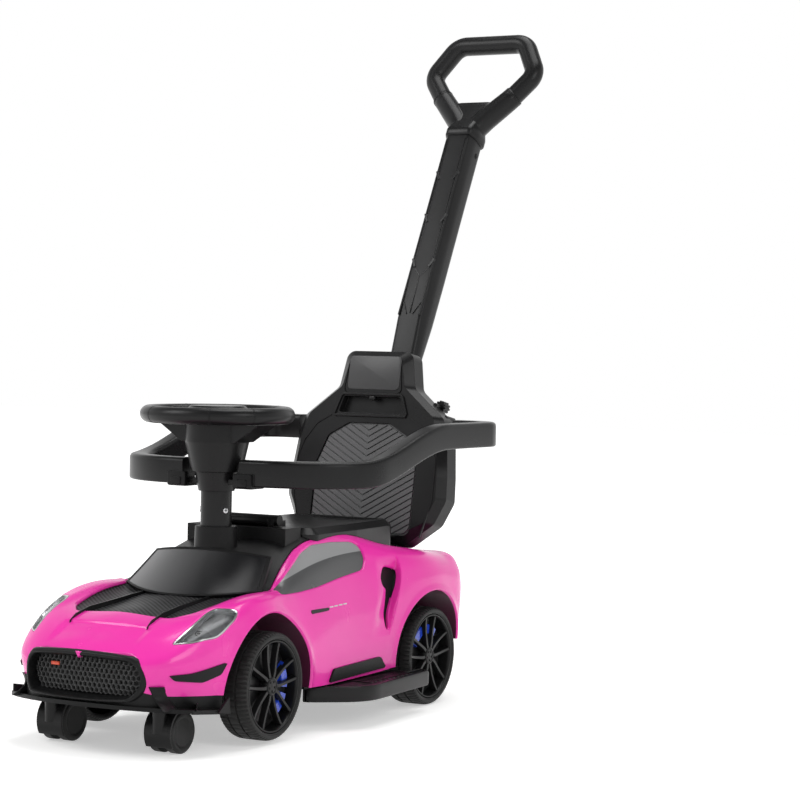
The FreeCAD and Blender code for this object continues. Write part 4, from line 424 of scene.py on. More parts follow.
# body skin: each section gives its place, then half width and height of the sill, the widest line,
# the shoulder and the roof rail, and the height of the middle, all as shares
bodySet = {
    "length": 678, "nose": 188, "half": 146, "height": 232, "along": 250, "round": 96,
    "noseBulge": 4, "tailBulge": 9, "capRows": 7, "knots": (0, 0.09, 0.24, 0.32, 0.5),
    "archInner": 78, "sillTop": 90, "sillThick": 5, "sillLift": 2, "lensDrop": 0.5,
    "sections": (
        (0.000, 0.400, 0.325, 0.455, 0.405, 0.390, 0.483, 0.200, 0.504, 0.509),
        (0.018, 0.575, 0.318, 0.620, 0.400, 0.545, 0.502, 0.290, 0.534, 0.543),
        (0.056, 0.740, 0.310, 0.778, 0.402, 0.672, 0.562, 0.380, 0.599, 0.612),
        (0.112, 0.850, 0.300, 0.882, 0.412, 0.772, 0.640, 0.470, 0.664, 0.677),
        (0.189, 0.930, 0.288, 0.955, 0.448, 0.838, 0.710, 0.548, 0.707, 0.716),
        (0.260, 0.964, 0.276, 0.991, 0.472, 0.852, 0.745, 0.610, 0.733, 0.742),
        (0.300, 0.966, 0.272, 0.990, 0.475, 0.842, 0.752, 0.665, 0.742, 0.765),
        (0.336, 0.966, 0.263, 0.979, 0.474, 0.826, 0.752, 0.710, 0.756, 0.868),
        (0.361, 0.963, 0.256, 0.976, 0.470, 0.816, 0.756, 0.695, 0.782, 0.938),
        (0.388, 0.959, 0.250, 0.973, 0.466, 0.808, 0.764, 0.671, 0.825, 0.957),
        (0.440, 0.952, 0.241, 0.966, 0.457, 0.808, 0.780, 0.616, 0.900, 0.974),
        (0.543, 0.945, 0.241, 0.959, 0.453, 0.815, 0.793, 0.580, 0.976, 1.000),
        (0.646, 0.945, 0.246, 0.959, 0.466, 0.836, 0.812, 0.622, 0.982, 0.995),
        (0.720, 0.952, 0.259, 0.973, 0.491, 0.877, 0.838, 0.640, 0.951, 0.958),
        (0.786, 0.959, 0.284, 0.993, 0.513, 0.897, 0.858, 0.620, 0.918, 0.922),
        (0.845, 0.959, 0.302, 1.000, 0.517, 0.890, 0.858, 0.585, 0.890, 0.890),
        (0.926, 0.945, 0.328, 0.979, 0.526, 0.856, 0.832, 0.540, 0.852, 0.852),
        (0.982, 0.904, 0.341, 0.932, 0.526, 0.815, 0.805, 0.515, 0.824, 0.824),
        (1.000, 0.849, 0.353, 0.877, 0.526, 0.774, 0.780, 0.495, 0.802, 0.802),
    ),
}


# cubic spline through (t, rows) read at x
def splineRead(t, rows, x):
    n = len(t)
    h = np.diff(t)
    slope = np.diff(rows, axis=0) / h[:, None]
    a = np.eye(n)
    b = np.zeros_like(rows)
    for i in range(1, n - 1):
        a[i, i - 1:i + 2] = h[i - 1], 2 * (h[i - 1] + h[i]), h[i]
        b[i] = 6 * (slope[i] - slope[i - 1])
    m = np.linalg.solve(a, b)
    k = np.clip(np.searchsorted(t, x) - 1, 0, n - 2)
    low = (x - t[k])[:, None]
    high = (t[k + 1] - x)[:, None]
    w = h[k][:, None]
    curve = (m[k] * high ** 3 + m[k + 1] * low ** 3) / (6 * w)
    return curve + (rows[k] / w - m[k] * w / 6) * high + (rows[k + 1] / w - m[k + 1] * w / 6) * low


def unit(v):
    return v / np.maximum(np.linalg.norm(v, axis=-1, keepdims=True), 1e-9)


# left half of the skin as a grid from nose to tail and from sill to crown, with its normals
def skinGrid(s):
    r = np.array(s["sections"])
    ring = np.zeros((len(r), 5, 2))
    ring[:, :4, 0] = r[:, 1:9:2] * s["half"]
    ring[:, :4, 1] = r[:, 2:9:2] * s["height"]
    ring[:, 4, 1] = r[:, 9] * s["height"]
    y = r[:, 0] * s["length"] - s["nose"]
    flow = np.concatenate([y[:, None], ring[:, 1], ring[:, 4, 1:]], axis=1)
    t = np.concatenate([[0], np.cumsum(np.linalg.norm(np.diff(flow, axis=0), axis=1))])
    table = np.concatenate([y[:, None], ring.reshape(len(r), 10)], axis=1)
    rows = splineRead(t, table, np.linspace(0, t[-1], s["along"]))
    half = np.array(s["knots"])
    knots = np.concatenate([half, (1 - half[:4])[::-1]])
    spots = np.linspace(0, 0.5, s["round"])
    grid = []
    for row in rows:
        c = row[1:].reshape(5, 2)
        both = np.concatenate([c, (c[:4] * np.array([-1, 1]))[::-1]])
        line = splineRead(knots, both, spots)
        grid.append(np.stack([line[:, 0], np.full(len(line), row[0]), line[:, 1]], axis=1))
    grid = np.array(grid)
    shares = np.linspace(0, 1, s["capRows"], endpoint=False)
    front = [grid[0] * (k, 1, 1) - np.array((0, s["noseBulge"] * (1 - k * k), 0)) for k in shares]
    rear = [grid[-1] * (k, 1, 1) + np.array((0, s["tailBulge"] * (1 - k * k), 0)) for k in shares[::-1]]
    grid = np.concatenate([np.array(front), grid, np.array(rear)])
    normal = unit(np.cross(np.gradient(grid, axis=0), np.gradient(grid, axis=1)))
    normal[0] = normal[1]
    normal[-1] = normal[-2]
    normal[:, -1, 0] = 0
    return grid, unit(normal)


# outline with its corners eased by short curves, each within a share of the sides that meet there
easeMost, easeSteps = 0.45, 5


def easedOutline(points, reach):
    out = []
    count = len(points)
    for i in range(count):
        before, here, after = (np.array(points[(i + k) % count], float) for k in (-1, 0, 1))
        back = before - here
        ahead = after - here
        cutBack, cutAhead = (min(reach, size * easeMost) / max(size, 1e-9)
                             for size in (np.linalg.norm(back), np.linalg.norm(ahead)))
        for k in range(easeSteps + 1):
            w = k / easeSteps
            out.append(here + back * cutBack * (1 - w) ** 2 + ahead * cutAhead * w ** 2)
    return np.array(out)


# signed distance to an outline, negative inside
def outlineField(outline, spots):
    best = np.full(len(spots), 1e18)
    inside = np.zeros(len(spots), bool)
    for a, b in zip(outline, np.roll(outline, -1, axis=0)):
        run = b - a
        share = np.clip(((spots - a) @ run) / max(run @ run, 1e-12), 0, 1)
        best = np.minimum(best, ((spots - a - share[:, None] * run) ** 2).sum(1))
        crosses = (a[1] > spots[:, 1]) != (b[1] > spots[:, 1])
        if abs(run[1]) > 1e-12:
            inside ^= crosses & (spots[:, 0] < a[0] + (spots[:, 1] - a[1]) * run[0] / run[1])
    return np.where(inside, -1, 1) * np.sqrt(best)


lampFacing = np.array((0.62, -0.42, 0.66))
lampFacing /= np.linalg.norm(lampFacing)
lampAcross = np.cross(lampFacing, (0, 0, 1))
lampAcross /= np.linalg.norm(lampAcross)
lampUp = np.cross(lampAcross, lampFacing)

# what is set into the skin: the plane of its outline, the outline, corner reach, limits along the car
insetSet = {
    "deck": ("plan", ((-60, 18), (29, 18), (66, 26), (106, 39), (93.6, 86), (82, 135), (78.8, 164.5),
                      (80.3, 198), (83.2, 280), (77.4, 354), (73, 466), (-60, 466)), 7, (-20, 480)),
    "hood": ("plan", ((-60, -107), (68.6, -108), (85.4, -86), (93.4, -42), (102.5, 40), (66, 40),
                      (-60, 40)), 7, (-130, 60)),
    "lamp": ("lamp", ((99, -149.5, 130.4), (100.9, -137.6, 138), (103.9, -115, 149.9), (103.6, -84.2, 161),
                      (107, -70.5, 164.2), (124.9, -59.4, 163.8), (129.5, -58.1, 161.2),
                      (132.4, -67.3, 154.5), (131.9, -91.3, 141), (130.1, -102.7, 135.7),
                      (116.5, -132.6, 131.8)), 5, (-170, -40)),
    "window": ("side", ((43, 174.3), (94.5, 196.4), (143, 216.4), (174, 224.6), (214, 226), (255, 224),
                        (263, 218), (257, 202), (244, 190), (233, 187.8), (186, 183), (132, 176.2),
                        (91, 173.3), (57, 172.8)), 6, (20, 280)),
    "intake": ("side", ((292.7, 192.7), (312.8, 190.9), (311.2, 184.2), (303.7, 165.5), (295.5, 146.8),
                        (286, 124.2), (281.4, 109.9), (274.9, 110.5), (276.7, 132.8), (280.1, 151.8),
                        (282.5, 163.9), (273.2, 167.6), (272.3, 177.1), (282.8, 187.7)), 5, (250, 330)),
    "skirt": ("side", ((132.8, 58), (142.1, 73.9), (257.3, 77.3), (272, 62)), 3, (110, 290)),
    "canard": ("side", ((-162.9, 97), (-137.7, 98.1), (-87.9, 107.1), (-96.4, 93.4), (-123, 86.4),
                        (-156.5, 90.7)), 2.5, (-175, -70)),
    "sideBar": ("side", ((98, 145.6), (139, 146.6), (141, 150.2), (98.2, 150.2)), 1, (80, 160)),
    "tailLamp": ("end", ((62, 150), (66, 166), (116, 168), (120, 158), (114, 151)), 4, (470, 560)),
    "valance": ("end", ((-60, 60), (88, 60), (104, 96), (84, 108), (-60, 110)), 6, (485, 560)),
}
archSet = ((0, 69, 87), (wheelbase, 65, 87))
grilleSet = {
    "half": 84, "high": 27, "middle": 92, "behind": -110, "noseX": (0, 30, 66, 78, 90, 113),
    "noseY": (-191.5, -190.8, -188, -183, -175.8, -150),
    # offset outward in the oval's plane, and depth behind the nose line
    "bezel": ((2.4, 5), (1.8, 0.6), (0.4, -1.6), (-1.6, -2.2), (-3.4, -1.2), (-5, 3), (-7, 10), (-8.2, 19),
              (-8.2, 23)),
    "bezelSteps": 120, "flatEnd": 2.2, "lowShare": 0.35, "lowForward": 5.0, "frontDepth": 4,
    "pitch": 6.6, "rowShare": 0.866, "bar": 0.8, "combEdge": 6.4,
    "combDepths": ((0, 12), (0.55, 11.2), (1, 12.2), (1, 15.5)),
    "backHalf": 76, "backSteps": 40, "backLevels": (68, 80, 92, 104, 116), "backDepth": 19.5,
    "tab": (-43, 101.5, 6.0, 2.0), "tabRings": ((11.5, 0), (9.4, 0), (8.8, -0.5)),
    "notch": (4.6, 120, 112.6), "notchRings": ((8, 0), (-1.5, 0), (-2.2, -0.6)),
}
farAway, planLow = 99.0, 130


# signed distance to what is set in, negative inside and far away where it can't be
def fieldOf(name):
    if name == "grille":
        g = grilleSet
        straight = g["half"] - g["high"]

        def readOval(p):
            d = np.hypot(np.maximum(np.abs(p[:, 0]) - straight, 0), p[:, 2] - g["middle"]) - g["high"]
            return np.where(p[:, 1] < g["behind"], d, farAway)
        return readOval
    if name == "arches":
        return lambda p: np.minimum(*[np.hypot(p[:, 1] - y, p[:, 2] - z) - r for y, z, r in archSet])
    plane, points, reach, limits = insetSet[name]
    if plane == "lamp":
        points = [(np.dot(q, lampAcross), np.dot(q, lampUp)) for q in points]
    outline = easedOutline(points, reach)
    columns = {"plan": slice(0, 2), "side": slice(1, 3), "end": slice(0, 3, 2)}

    def read(p):
        if plane == "lamp":
            flat = np.stack([p @ lampAcross, p @ lampUp], axis=1)
        else:
            flat = p[:, columns[plane]]
        near = (p[:, 1] > limits[0]) & (p[:, 1] < limits[1])
        if plane == "plan":
            near &= p[:, 2] > planLow
        field = np.full(len(p), farAway)
        if near.any():
            field[near] = outlineField(outline, flat[near])
        return field
    return read


def bell(a, middle, reach):
    return np.exp(-((a - middle) / reach) ** 2)


def ramp(a, start, end):
    t = np.clip((a - start) / (end - start), 0, 1)
    return t * t * (3 - 2 * t)


# leading edge of the haunch, which the air intake lies along, and the ledge across the nose
haunchSet = {"y": 282.5, "z": 110, "way": (-0.931, 0.366), "cuts": (-1.2, 0, 1.2), "over": 90}
ledgeSet = {"ahead": 136, "half": 58, "bow": 3, "cuts": (-4, -1.5, 1), "over": 120}


def aheadOfHaunch(p):
    h = haunchSet
    return (p[:, 1] - h["y"]) * h["way"][0] + (p[:, 2] - h["z"]) * h["way"][1]


def aheadOfLedge(p):
    return p[:, 1] + ledgeSet["ahead"] - (np.abs(p[:, 0]) / ledgeSet["half"]) ** 2 * ledgeSet["bow"]


# forms that the sections leave out: height above the skin, then the bounds that it is multiplied by
outerSide = ("rise", "x", 92, 108)
formSet = {
    "scoop": (-8.5, outerSide, ("rise", "z", 100, 135), ("fall", "z", 190, 203),
              ("rise", "haunch", -1.2, 1.2), ("fall", "haunch", 5, 44), ("rise", "y", 215, 240)),
    "door": (-2.6, outerSide, ("bell", "y", 200, 64), ("bell", "z", 112, 24)),
    "haunch": (3.2, outerSide, ("bell", "y", 395, 72), ("bell", "z", 178, 18)),
    "crown": (3.0, ("bell", "y", -10, 80), ("bell", "x", 122, 16), ("rise", "z", 120, 150)),
    "hoodSide": (2.2, ("rise", "y", -120, -60), ("fall", "y", 20, 60), ("bell", "x", 104, 9),
                 ("rise", "z", 130, 150)),
    "ledge": (-2.4, ("fall", "ledge", -4, 1), ("fall", "x", 54, 66), ("rise", "y", -176, -150)),
    "flare": (2.2, ("bell", "arch", 0, 7), ("rise", "x", 100, 115)),
    "lip": (5.0, ("rise", "y", 440, 486), ("bell", "z", 192, 9)),
}
boundKinds = {"rise": ramp, "fall": lambda a, start, end: 1 - ramp(a, start, end), "bell": bell}


def bodyForms(p):
    reads = {"x": np.abs(p[:, 0]), "y": p[:, 1], "z": p[:, 2], "haunch": aheadOfHaunch(p),
             "ledge": aheadOfLedge(p), "arch": fieldOf("arches")(p)}
    total = 0
    for height, *bounds in formSet.values():
        for kind, along, a, b in bounds:
            height = height * boundKinds[kind](reads[along], a, b)
        total = total + height
    return total


# cuts the open faces where a field changes sign; the negative side takes the label
def cutSkin(skin, values, label):
    values = values.tolist()
    points, normals = [], []
    start = len(values)
    made = {}

    def crossing(a, b):
        key = (a, b) if a < b else (b, a)
        if key not in made:
            share = values[key[0]] / (values[key[0]] - values[key[1]])
            points.append(skin["p"][key[0]] * (1 - share) + skin["p"][key[1]] * share)
            normals.append(skin["n"][key[0]] * (1 - share) + skin["n"][key[1]] * share)
            made[key] = start + len(points) - 1
        return made[key]
    faces, labels = [], []
    for face, old in zip(skin["faces"], skin["labels"]):
        signs = [values[i] < 0 for i in face]
        if old or all(signs) or not any(signs):
            faces.append(face)
            labels.append(old or (label if signs[0] else 0))
            continue
        inner, outer = [], []
        for i, here in enumerate(face):
            after = face[(i + 1) % len(face)]
            (inner if signs[i] else outer).append(here)
            if signs[i] != signs[(i + 1) % len(face)]:
                spot = crossing(here, after)
                inner.append(spot)
                outer.append(spot)
        faces += [tuple(inner), tuple(outer)]
        labels += [label, 0]
    if points:
        skin["p"] = np.concatenate([skin["p"], np.array(points)])
        skin["n"] = np.concatenate([skin["n"], unit(np.array(normals))])
    skin["faces"] = faces
    skin["labels"] = labels


# order of the cuts: label, depth of the inset below the skin (negative stands proud), edge radius
cutSet = (
    ("deck", 4.0, 2.5), ("arches", 0, 2.6), ("grille", 6.0, 2.2), ("hood", 3.6, 2.2), ("lamp", 9.5, 1.6),
    ("window", 2.4, 2.0), ("intake", 4.5, 1.6), ("skirt", -2.6, 0), ("canard", -1.8, 0), ("sideBar", -0.7, 0),
    ("tailLamp", 3.0, 1.6), ("valance", 3.0, 1.6),
)
lampRim, edgeShares = 1.8, (0.3, 0.65, 1.0)
labelOf = {name: number for number, (name, depth, edge) in enumerate(cutSet, 1)}
labelOf["lampRim"] = len(cutSet) + 1


def edgeDrop(d, radius):
    return -radius * (1 - np.minimum(d / radius, 1)) ** 2


def buildSkin(s):
    grid, normal = skinGrid(s)
    count, wide = grid.shape[:2]
    skin = {"p": grid.reshape(-1, 3), "n": normal.reshape(-1, 3), "faces": gridFaces(count, wide)}
    skin["labels"] = [0] * len(skin["faces"])
    for name, depth, edge in cutSet:
        field = fieldOf(name)
        if name == "lamp":
            cutSkin(skin, field(skin["p"]) + lampRim, labelOf[name])
            cutSkin(skin, field(skin["p"]), labelOf["lampRim"])
        else:
            cutSkin(skin, field(skin["p"]), labelOf[name])
        for share in edgeShares if edge else ():
            cutSkin(skin, field(skin["p"]) - edge * share, 0)
    for c, axis, field in ((haunchSet, 0, aheadOfHaunch), (ledgeSet, 2, aheadOfLedge)):
        for offset in c["cuts"]:
            cutSkin(skin, np.where(skin["p"][:, axis] > c["over"], field(skin["p"]) - offset, farAway), 0)
    return skin


# moves points by a height function along their normals and turns the normals with it
def raised(p, n, height):
    moved = p + n * height(p)[:, None]
    step = 0.05
    slope = np.stack([(height(p + step * e) - height(p - step * e)) / (2 * step) for e in np.eye(3)], axis=1)
    along = slope - (slope * n).sum(1)[:, None] * n
    return moved, unit(n - along)


def gather(faces, points, normals):
    used = sorted({i for face in faces for i in face})
    number = {old: new for new, old in enumerate(used)}
    return points[used], [tuple(number[i] for i in face) for face in faces], normals[used]


def bothHalves(points, faces, normals):
    flip = np.array((-1, 1, 1))
    mirrored = [tuple(i + len(points) for i in reversed(face)) for face in faces]
    allPoints, allNormals = (np.concatenate([half, half * flip]) for half in (points, normals))
    return allPoints, faces + mirrored, allNormals


# strip of quads between an upper and a lower run of points, one pair per edge end
def wallStrip(edges, upper, lower):
    used = sorted({i for edge in edges for i in edge})
    number = {old: new for new, old in enumerate(used)}
    points = np.concatenate([upper[used], lower[used]])
    count = len(used)
    faces = [(number[a], number[a] + count, number[b] + count, number[b]) for a, b in edges]
    normals = np.zeros_like(points)
    for face in faces:
        q = points[list(face)]
        turn = np.cross(q[2] - q[0], q[3] - q[1])
        for i in face:
            normals[i] += turn
    return points, faces, unit(normals)


def stack(parts):
    points, faces, normals, groups = [], [], [], []
    start = 0
    for group, (p, f, n) in parts:
        points.append(p)
        normals.append(n)
        faces += [tuple(i + start for i in face) for face in f]
        groups += [group] * len(f)
        start += len(p)
    return np.concatenate(points), faces, np.concatenate(normals), groups


def buildBody(s):
    skin = buildSkin(s)
    p, n = skin["p"], skin["n"]
    fields = [(fieldOf(name), edge) for name, depth, edge in cutSet if edge]

    def dressedHeight(q):
        total = bodyForms(q)
        for field, edge in fields:
            total = total + edgeDrop(field(q), edge)
        return total
    outerP, outerN = raised(p, n, dressedHeight)
    plainP, plainN = raised(p, n, bodyForms)
    byLabel = {}
    for face, label in zip(skin["faces"], skin["labels"]):
        byLabel.setdefault(label, []).append(face)

    def edgesOf(faces):
        return [(here, face[(i + 1) % len(face)]) for face in faces for i, here in enumerate(face)]

    def borders(faces, beside):
        return [(after, here) for here, after in edgesOf(faces) if (after, here) in beside]
    openEdges = dict.fromkeys(edgesOf(byLabel[0]))
    rimFaces = byLabel[labelOf["lampRim"]]
    cover = plainP - plainN * s["lensDrop"]
    patches, parts = {}, [(0, gather(byLabel[0], outerP, outerN))]
    for name, depth, edge in cutSet:
        faces = byLabel.get(labelOf[name], [])
        rim = borders(faces, openEdges)
        # arch walls run in to the wells in pink darkened as painted shade
        if name == "arches":
            lower = outerP.copy()
            lower[:, 0] = s["archInner"]
            parts.append((1, wallStrip(rim, outerP, lower)))
            continue
        lower = plainP - plainN * depth
        patches[name] = gather(faces, lower, plainN)
        if name == "lamp":
            parts.append((3, wallStrip(borders(rimFaces, openEdges), outerP, cover)))
            parts.append((3, wallStrip(borders(faces, dict.fromkeys(edgesOf(rimFaces))), cover, lower)))
            patches["lens"] = gather(faces + rimFaces, cover, plainN)
            patches["lensGroups"] = [0] * len(faces) + [1] * len(rimFaces)
            continue
        parts.append((2 if depth < 0 else 0, wallStrip(rim, outerP, lower)))
    sill = [edge for edge in openEdges if (edge[1], edge[0]) not in openEdges]
    low = [edge for edge in sill if max(p[edge[0], 2], p[edge[1], 2]) < s["sillTop"]]
    lower = outerP - outerN * s["sillThick"]
    lower[:, 2] += s["sillLift"]
    parts.append((0, wallStrip(low, outerP, lower)))
    points, faces, normals, groups = stack(parts)
    fullP, fullF, fullN = bothHalves(points, faces, normals)
    makePiece("bodySkin", fullP, fullF, ("pinkGloss", "archDark", "blackGrain", "silverEdge"),
              ("body_shell", "front_fender_left", "front_fender_right"), groups=groups * 2, normals=fullN)
    print("body skin", len(fullP), "points", len(fullF), "faces")
    return patches


bodyPatches = buildBody(bodySet)


# a set-in patch as one piece for both sides, or one piece per side
def placePatch(name, finishNames, replaced=(), sides=None, groups=None):
    points, faces, normals = bodyPatches[name]
    if sides is None:
        points, faces, normals = bothHalves(points, faces, normals)
        makePiece(name + "Inset", points, faces, finishNames, replaced, normals=normals)
        return
    flip = np.array((-1, 1, 1))
    left, right = sides
    turned = [tuple(reversed(face)) for face in faces]
    makePiece(name + "Left", points, faces, finishNames, (left,), groups=groups, normals=normals)
    makePiece(name + "Right", points * flip, turned, finishNames, (right,), groups=groups,
              normals=normals * flip)


placePatch("hood", "carbon", ("hood_panel",))
placePatch("window", "sideGlass", sides=("side_window_left", "side_window_right"))
placePatch("intake", "blackGrain", ("side_intakes",))
placePatch("skirt", "blackGrain", ("side_skirts",))
placePatch("canard", "blackGrain", ("canards",))
placePatch("sideBar", "blackGloss")
placePatch("tailLamp", "lampRed", ("tail_lamps",))
placePatch("valance", "blackGrain")
placePatch("lamp", "lampGrey", ("headlight_bowls",))
placePatch("lens", ("lensClear", "silverEdge"),
           sides=("headlight_lens_left", "headlight_lens_right"), groups=bodyPatches["lensGroups"])
print("body insets placed")


# ring of points swept round the x axis; profile holds (along the axis, radius), lift changes the radius
def turnedPoints(profile, steps, lift=None):
    points = []
    for k in range(steps):
        a = 2 * math.pi * k / steps
        for j, (x, r) in enumerate(profile):
            r = r + (lift(k, j) if lift else 0)
            points.append((x, r * math.cos(a), r * math.sin(a)))
    return points, gridFaces(steps, len(profile), rowLoop=True)


# bar with a flat top along a run of stations: centre, side and out directions, half width low and at the top,
# low and top heights
def barPoints(stations):
    points = []
    for centre, side, out, low, top, base, high in stations:
        c, s, o = (np.array(v, float) for v in (centre, side, out))
        points += [c + s * low + o * base, c + s * top + o * high]
        points += [c - s * top + o * high, c - s * low + o * base]
    last = len(points) - 4
    ends = [(0, 1, 2, 3), (last + 3, last + 2, last + 1, last)]
    return points, gridFaces(len(stations), 4, ringLoop=True) + ends


def joined(parts):
    points, faces, groups = [], [], []
    for group, (p, f) in parts:
        start = len(points)
        points += [tuple(q) for q in p]
        faces += [tuple(i + start for i in face) for face in f]
        groups += [group] * len(f)
    return points, faces, groups


# wheels: block-tread tyre, five forked spokes, disc and caliper
wheelSet = {
    "middle": 124, "barrelSteps": 96, "hubSteps": 48, "discSteps": 72, "boltSteps": 12, "steps": 216,
    "blocks": 3, "groove": 1.7, "shoulder": (15, 21.2, 61), "sharp": 32,
    "crown": 64, "crownBlocks": 9, "crownShift": 4, "crownShare": 0.8,
    "tyre": ((-19, 55.6), (-21.4, 58), (-22, 60.5), (-20.6, 62.6), (-19, 63.8), (-15.5, 64.8), (-8.6, 65),
             (-8.4, 63.2), (-6.2, 63.2), (-6, 65), (6, 65), (6.2, 63.2), (8.4, 63.2), (8.6, 65), (15.5, 64.8),
             (19, 63.8), (20.6, 62.6), (21.3, 61.6), (21.9, 60.6), (21.7, 60.0), (22, 59.4), (21.7, 57.8),
             (20.9, 57.4), (20.6, 56.2), (19, 55.6)),
    "barrel": ((-15, 55.2), (19.8, 55.2), (20.6, 54.6), (20.6, 53.4), (19.4, 52.4), (16.5, 51.6), (3.5, 50.6),
               (3, 49), (3, 12), (-12, 11)),
    "disc": ((3.4, 13), (6.8, 13), (7, 15), (7, 43), (6.8, 44), (3.4, 44)),
    "hub": ((3, 13), (12, 12.4), (16.5, 11.6), (18.4, 10.4), (18.9, 8.6), (18.2, 7.8), (18.2, 3),
            (18.6, 0.02)),
    # radius, shift to the side, face and half width along each arm of a spoke
    "spoke": ((9.5, 2.6, 17.6, 3.6), (17, 4.6, 17.8, 3.6), (25, 8.2, 17.4, 3.3), (34, 12.6, 17.4, 3.3),
              (43, 17.2, 18.2, 3.3), (49.6, 21.0, 19.4, 3.3)),
    "spokes": 5, "spokeTop": 0.55, "spokeDeep": 7, "boltAt": 6.0,
    "bolt": ((17.5, 1.5), (18.9, 1.5), (19.2, 1.1), (19.2, 0.02)),
    "caliper": (27, 43, 7.2, 12.6), "caliperEdge": 2.2, "caliperSteps": 8,
    "frontArcs": ((-58, -20), (-8, 38)), "rearArcs": ((52, 88), (100, 152)),
    "wheels": (("front_left", 1, 0, 69), ("front_right", -1, 0, 69), ("rear_left", 1, wheelbase, 65),
               ("rear_right", -1, wheelbase, 65)),
}
outward = np.array((1, 0, 0))


def radial(angle):
    return np.array((0, math.cos(angle), math.sin(angle)))


def wheelRim(s):
    parts = [(0, turnedPoints(s["barrel"], s["barrelSteps"])), (0, turnedPoints(s["hub"], s["hubSteps"]))]
    bolt, boltFaces = turnedPoints(s["bolt"], s["boltSteps"])
    for k in range(s["spokes"]):
        a = -math.pi / 2 + 2 * math.pi * k / s["spokes"]
        run = radial(a)
        side = np.array((0, -math.sin(a), math.cos(a)))
        for turn in (1, -1):
            stations = [(run * r + side * turn * shift, side * turn, outward, wide, wide * s["spokeTop"],
                         face - s["spokeDeep"], face) for r, shift, face, wide in s["spoke"]]
            points, faces = barPoints(stations)
            parts.append((0, (points, faces if turn > 0 else [tuple(reversed(f)) for f in faces])))
        parts.append((0, ([np.array(q) + run * s["boltAt"] for q in bolt], boltFaces)))
    return joined(parts)


def wheelBrake(s, arcs):
    brake = [(0, turnedPoints(s["disc"], s["discSteps"]))]
    low, high, back, front = s["caliper"]
    half = (high - low) / 2
    for start, end in arcs:
        stations = []
        for k in range(s["caliperSteps"] + 1):
            run = radial(math.radians(start + (end - start) * k / s["caliperSteps"]))
            middle = run * (low + high) / 2
            stations.append((middle, run, outward, half, half - s["caliperEdge"], back, front))
        brake.append((1, barPoints(stations)))
    return joined(brake)


def buildWheel(s, name, sign, y, z):
    def tread(k, j):
        x, r = s["tyre"][j]
        near, far, low = s["shoulder"]
        if near < abs(x) < far and r > low and k % s["blocks"] == 0:
            return -s["groove"]
        shift = s["crownShift"] if x > 0 else 0
        if abs(x) < near and r > s["crown"] and (k + shift) % s["crownBlocks"] == 0:
            return -s["groove"] * s["crownShare"]
        return 0
    tyre = joined([(0, turnedPoints(s["tyre"], s["steps"], tread))])
    brake = wheelBrake(s, s["rearArcs"] if y else s["frontArcs"])
    for label, made, finishNames, slot, node in (
            ("tyre_", tyre, "tyreBlack", "tyre_plastic", "tyre_"),
            ("rim_", wheelRim(s), "rimBlack", "rim_gloss", "rim_"),
            ("brake_", brake, ("blackSatin", "caliperBlue"), "brake_plastic", "brake_disc_")):
        points = np.array(made[0]) * (sign, 1, 1) + np.array((sign * s["middle"], y, z))
        faces = made[1] if sign < 0 else [tuple(reversed(f)) for f in made[1]]
        makePiece(label + name, points, faces, finishNames, (node + name,), "wheel_" + name, made[2],
                  sharp=s["sharp"])


for wheel in wheelSet["wheels"]:
    buildWheel(wheelSet, *wheel)
print("wheels built")


def noseLine(x):
    return np.interp(np.abs(x), grilleSet["noseX"], grilleSet["noseY"])


# grille: deep oval bezel and a honeycomb that follows the nose
def buildBezel(g):
    straight = g["half"] - g["high"]
    points = []
    for k in range(g["bezelSteps"]):
        a = 2 * math.pi * k / g["bezelSteps"]
        cx = math.copysign(straight, math.cos(a)) * min(1, abs(math.cos(a)) * g["flatEnd"])
        lower = max(0, -math.sin(a))
        for out, depth in g["bezel"]:
            x = cx + (g["high"] + out) * math.cos(a)
            z = g["middle"] + (g["high"] + out * (1 - g["lowShare"] * lower)) * math.sin(a)
            forward = g["lowForward"] * lower ** 2 if depth < g["frontDepth"] else 0
            points.append((x, noseLine(x) + depth - forward, z))
    faces = gridFaces(g["bezelSteps"], len(g["bezel"]), rowLoop=True, flip=True)
    makePiece("grilleBezel", points, faces, "blackGrain", ("grille_frame",), sharp=60)


def buildComb(g):
    pitch, straight = g["pitch"], g["half"] - g["high"]
    step = pitch * g["rowShare"]
    rows, columns = int(g["high"] / step) + 1, int(g["half"] / pitch) + 1
    cells = []
    cellFaces = gridFaces(len(g["combDepths"]), 6, ringLoop=True, flip=True)
    for row in range(-rows, rows + 1):
        for column in range(-columns, columns + 1):
            cx, cz = (column + (row % 2) * 0.5) * pitch, row * step
            if math.hypot(max(abs(cx) - straight, 0), cz) > g["high"] - g["combEdge"]:
                continue
            cell = []
            for shrink, depth in g["combDepths"]:
                radius = pitch / math.sqrt(3) - shrink * g["bar"]
                for turn in range(6):
                    a = math.radians(60 * turn + 30)
                    x = cx + radius * math.cos(a)
                    cell.append((x, noseLine(x) + depth, g["middle"] + cz + radius * math.sin(a)))
            cells.append((0, (cell, cellFaces)))
    points, faces = joined(cells)[:2]
    # the comb's grey finish is a painted highlight on black bars
    makePiece("grilleComb", points, faces, "combGrey", ("grille_mesh",), sharp=30)
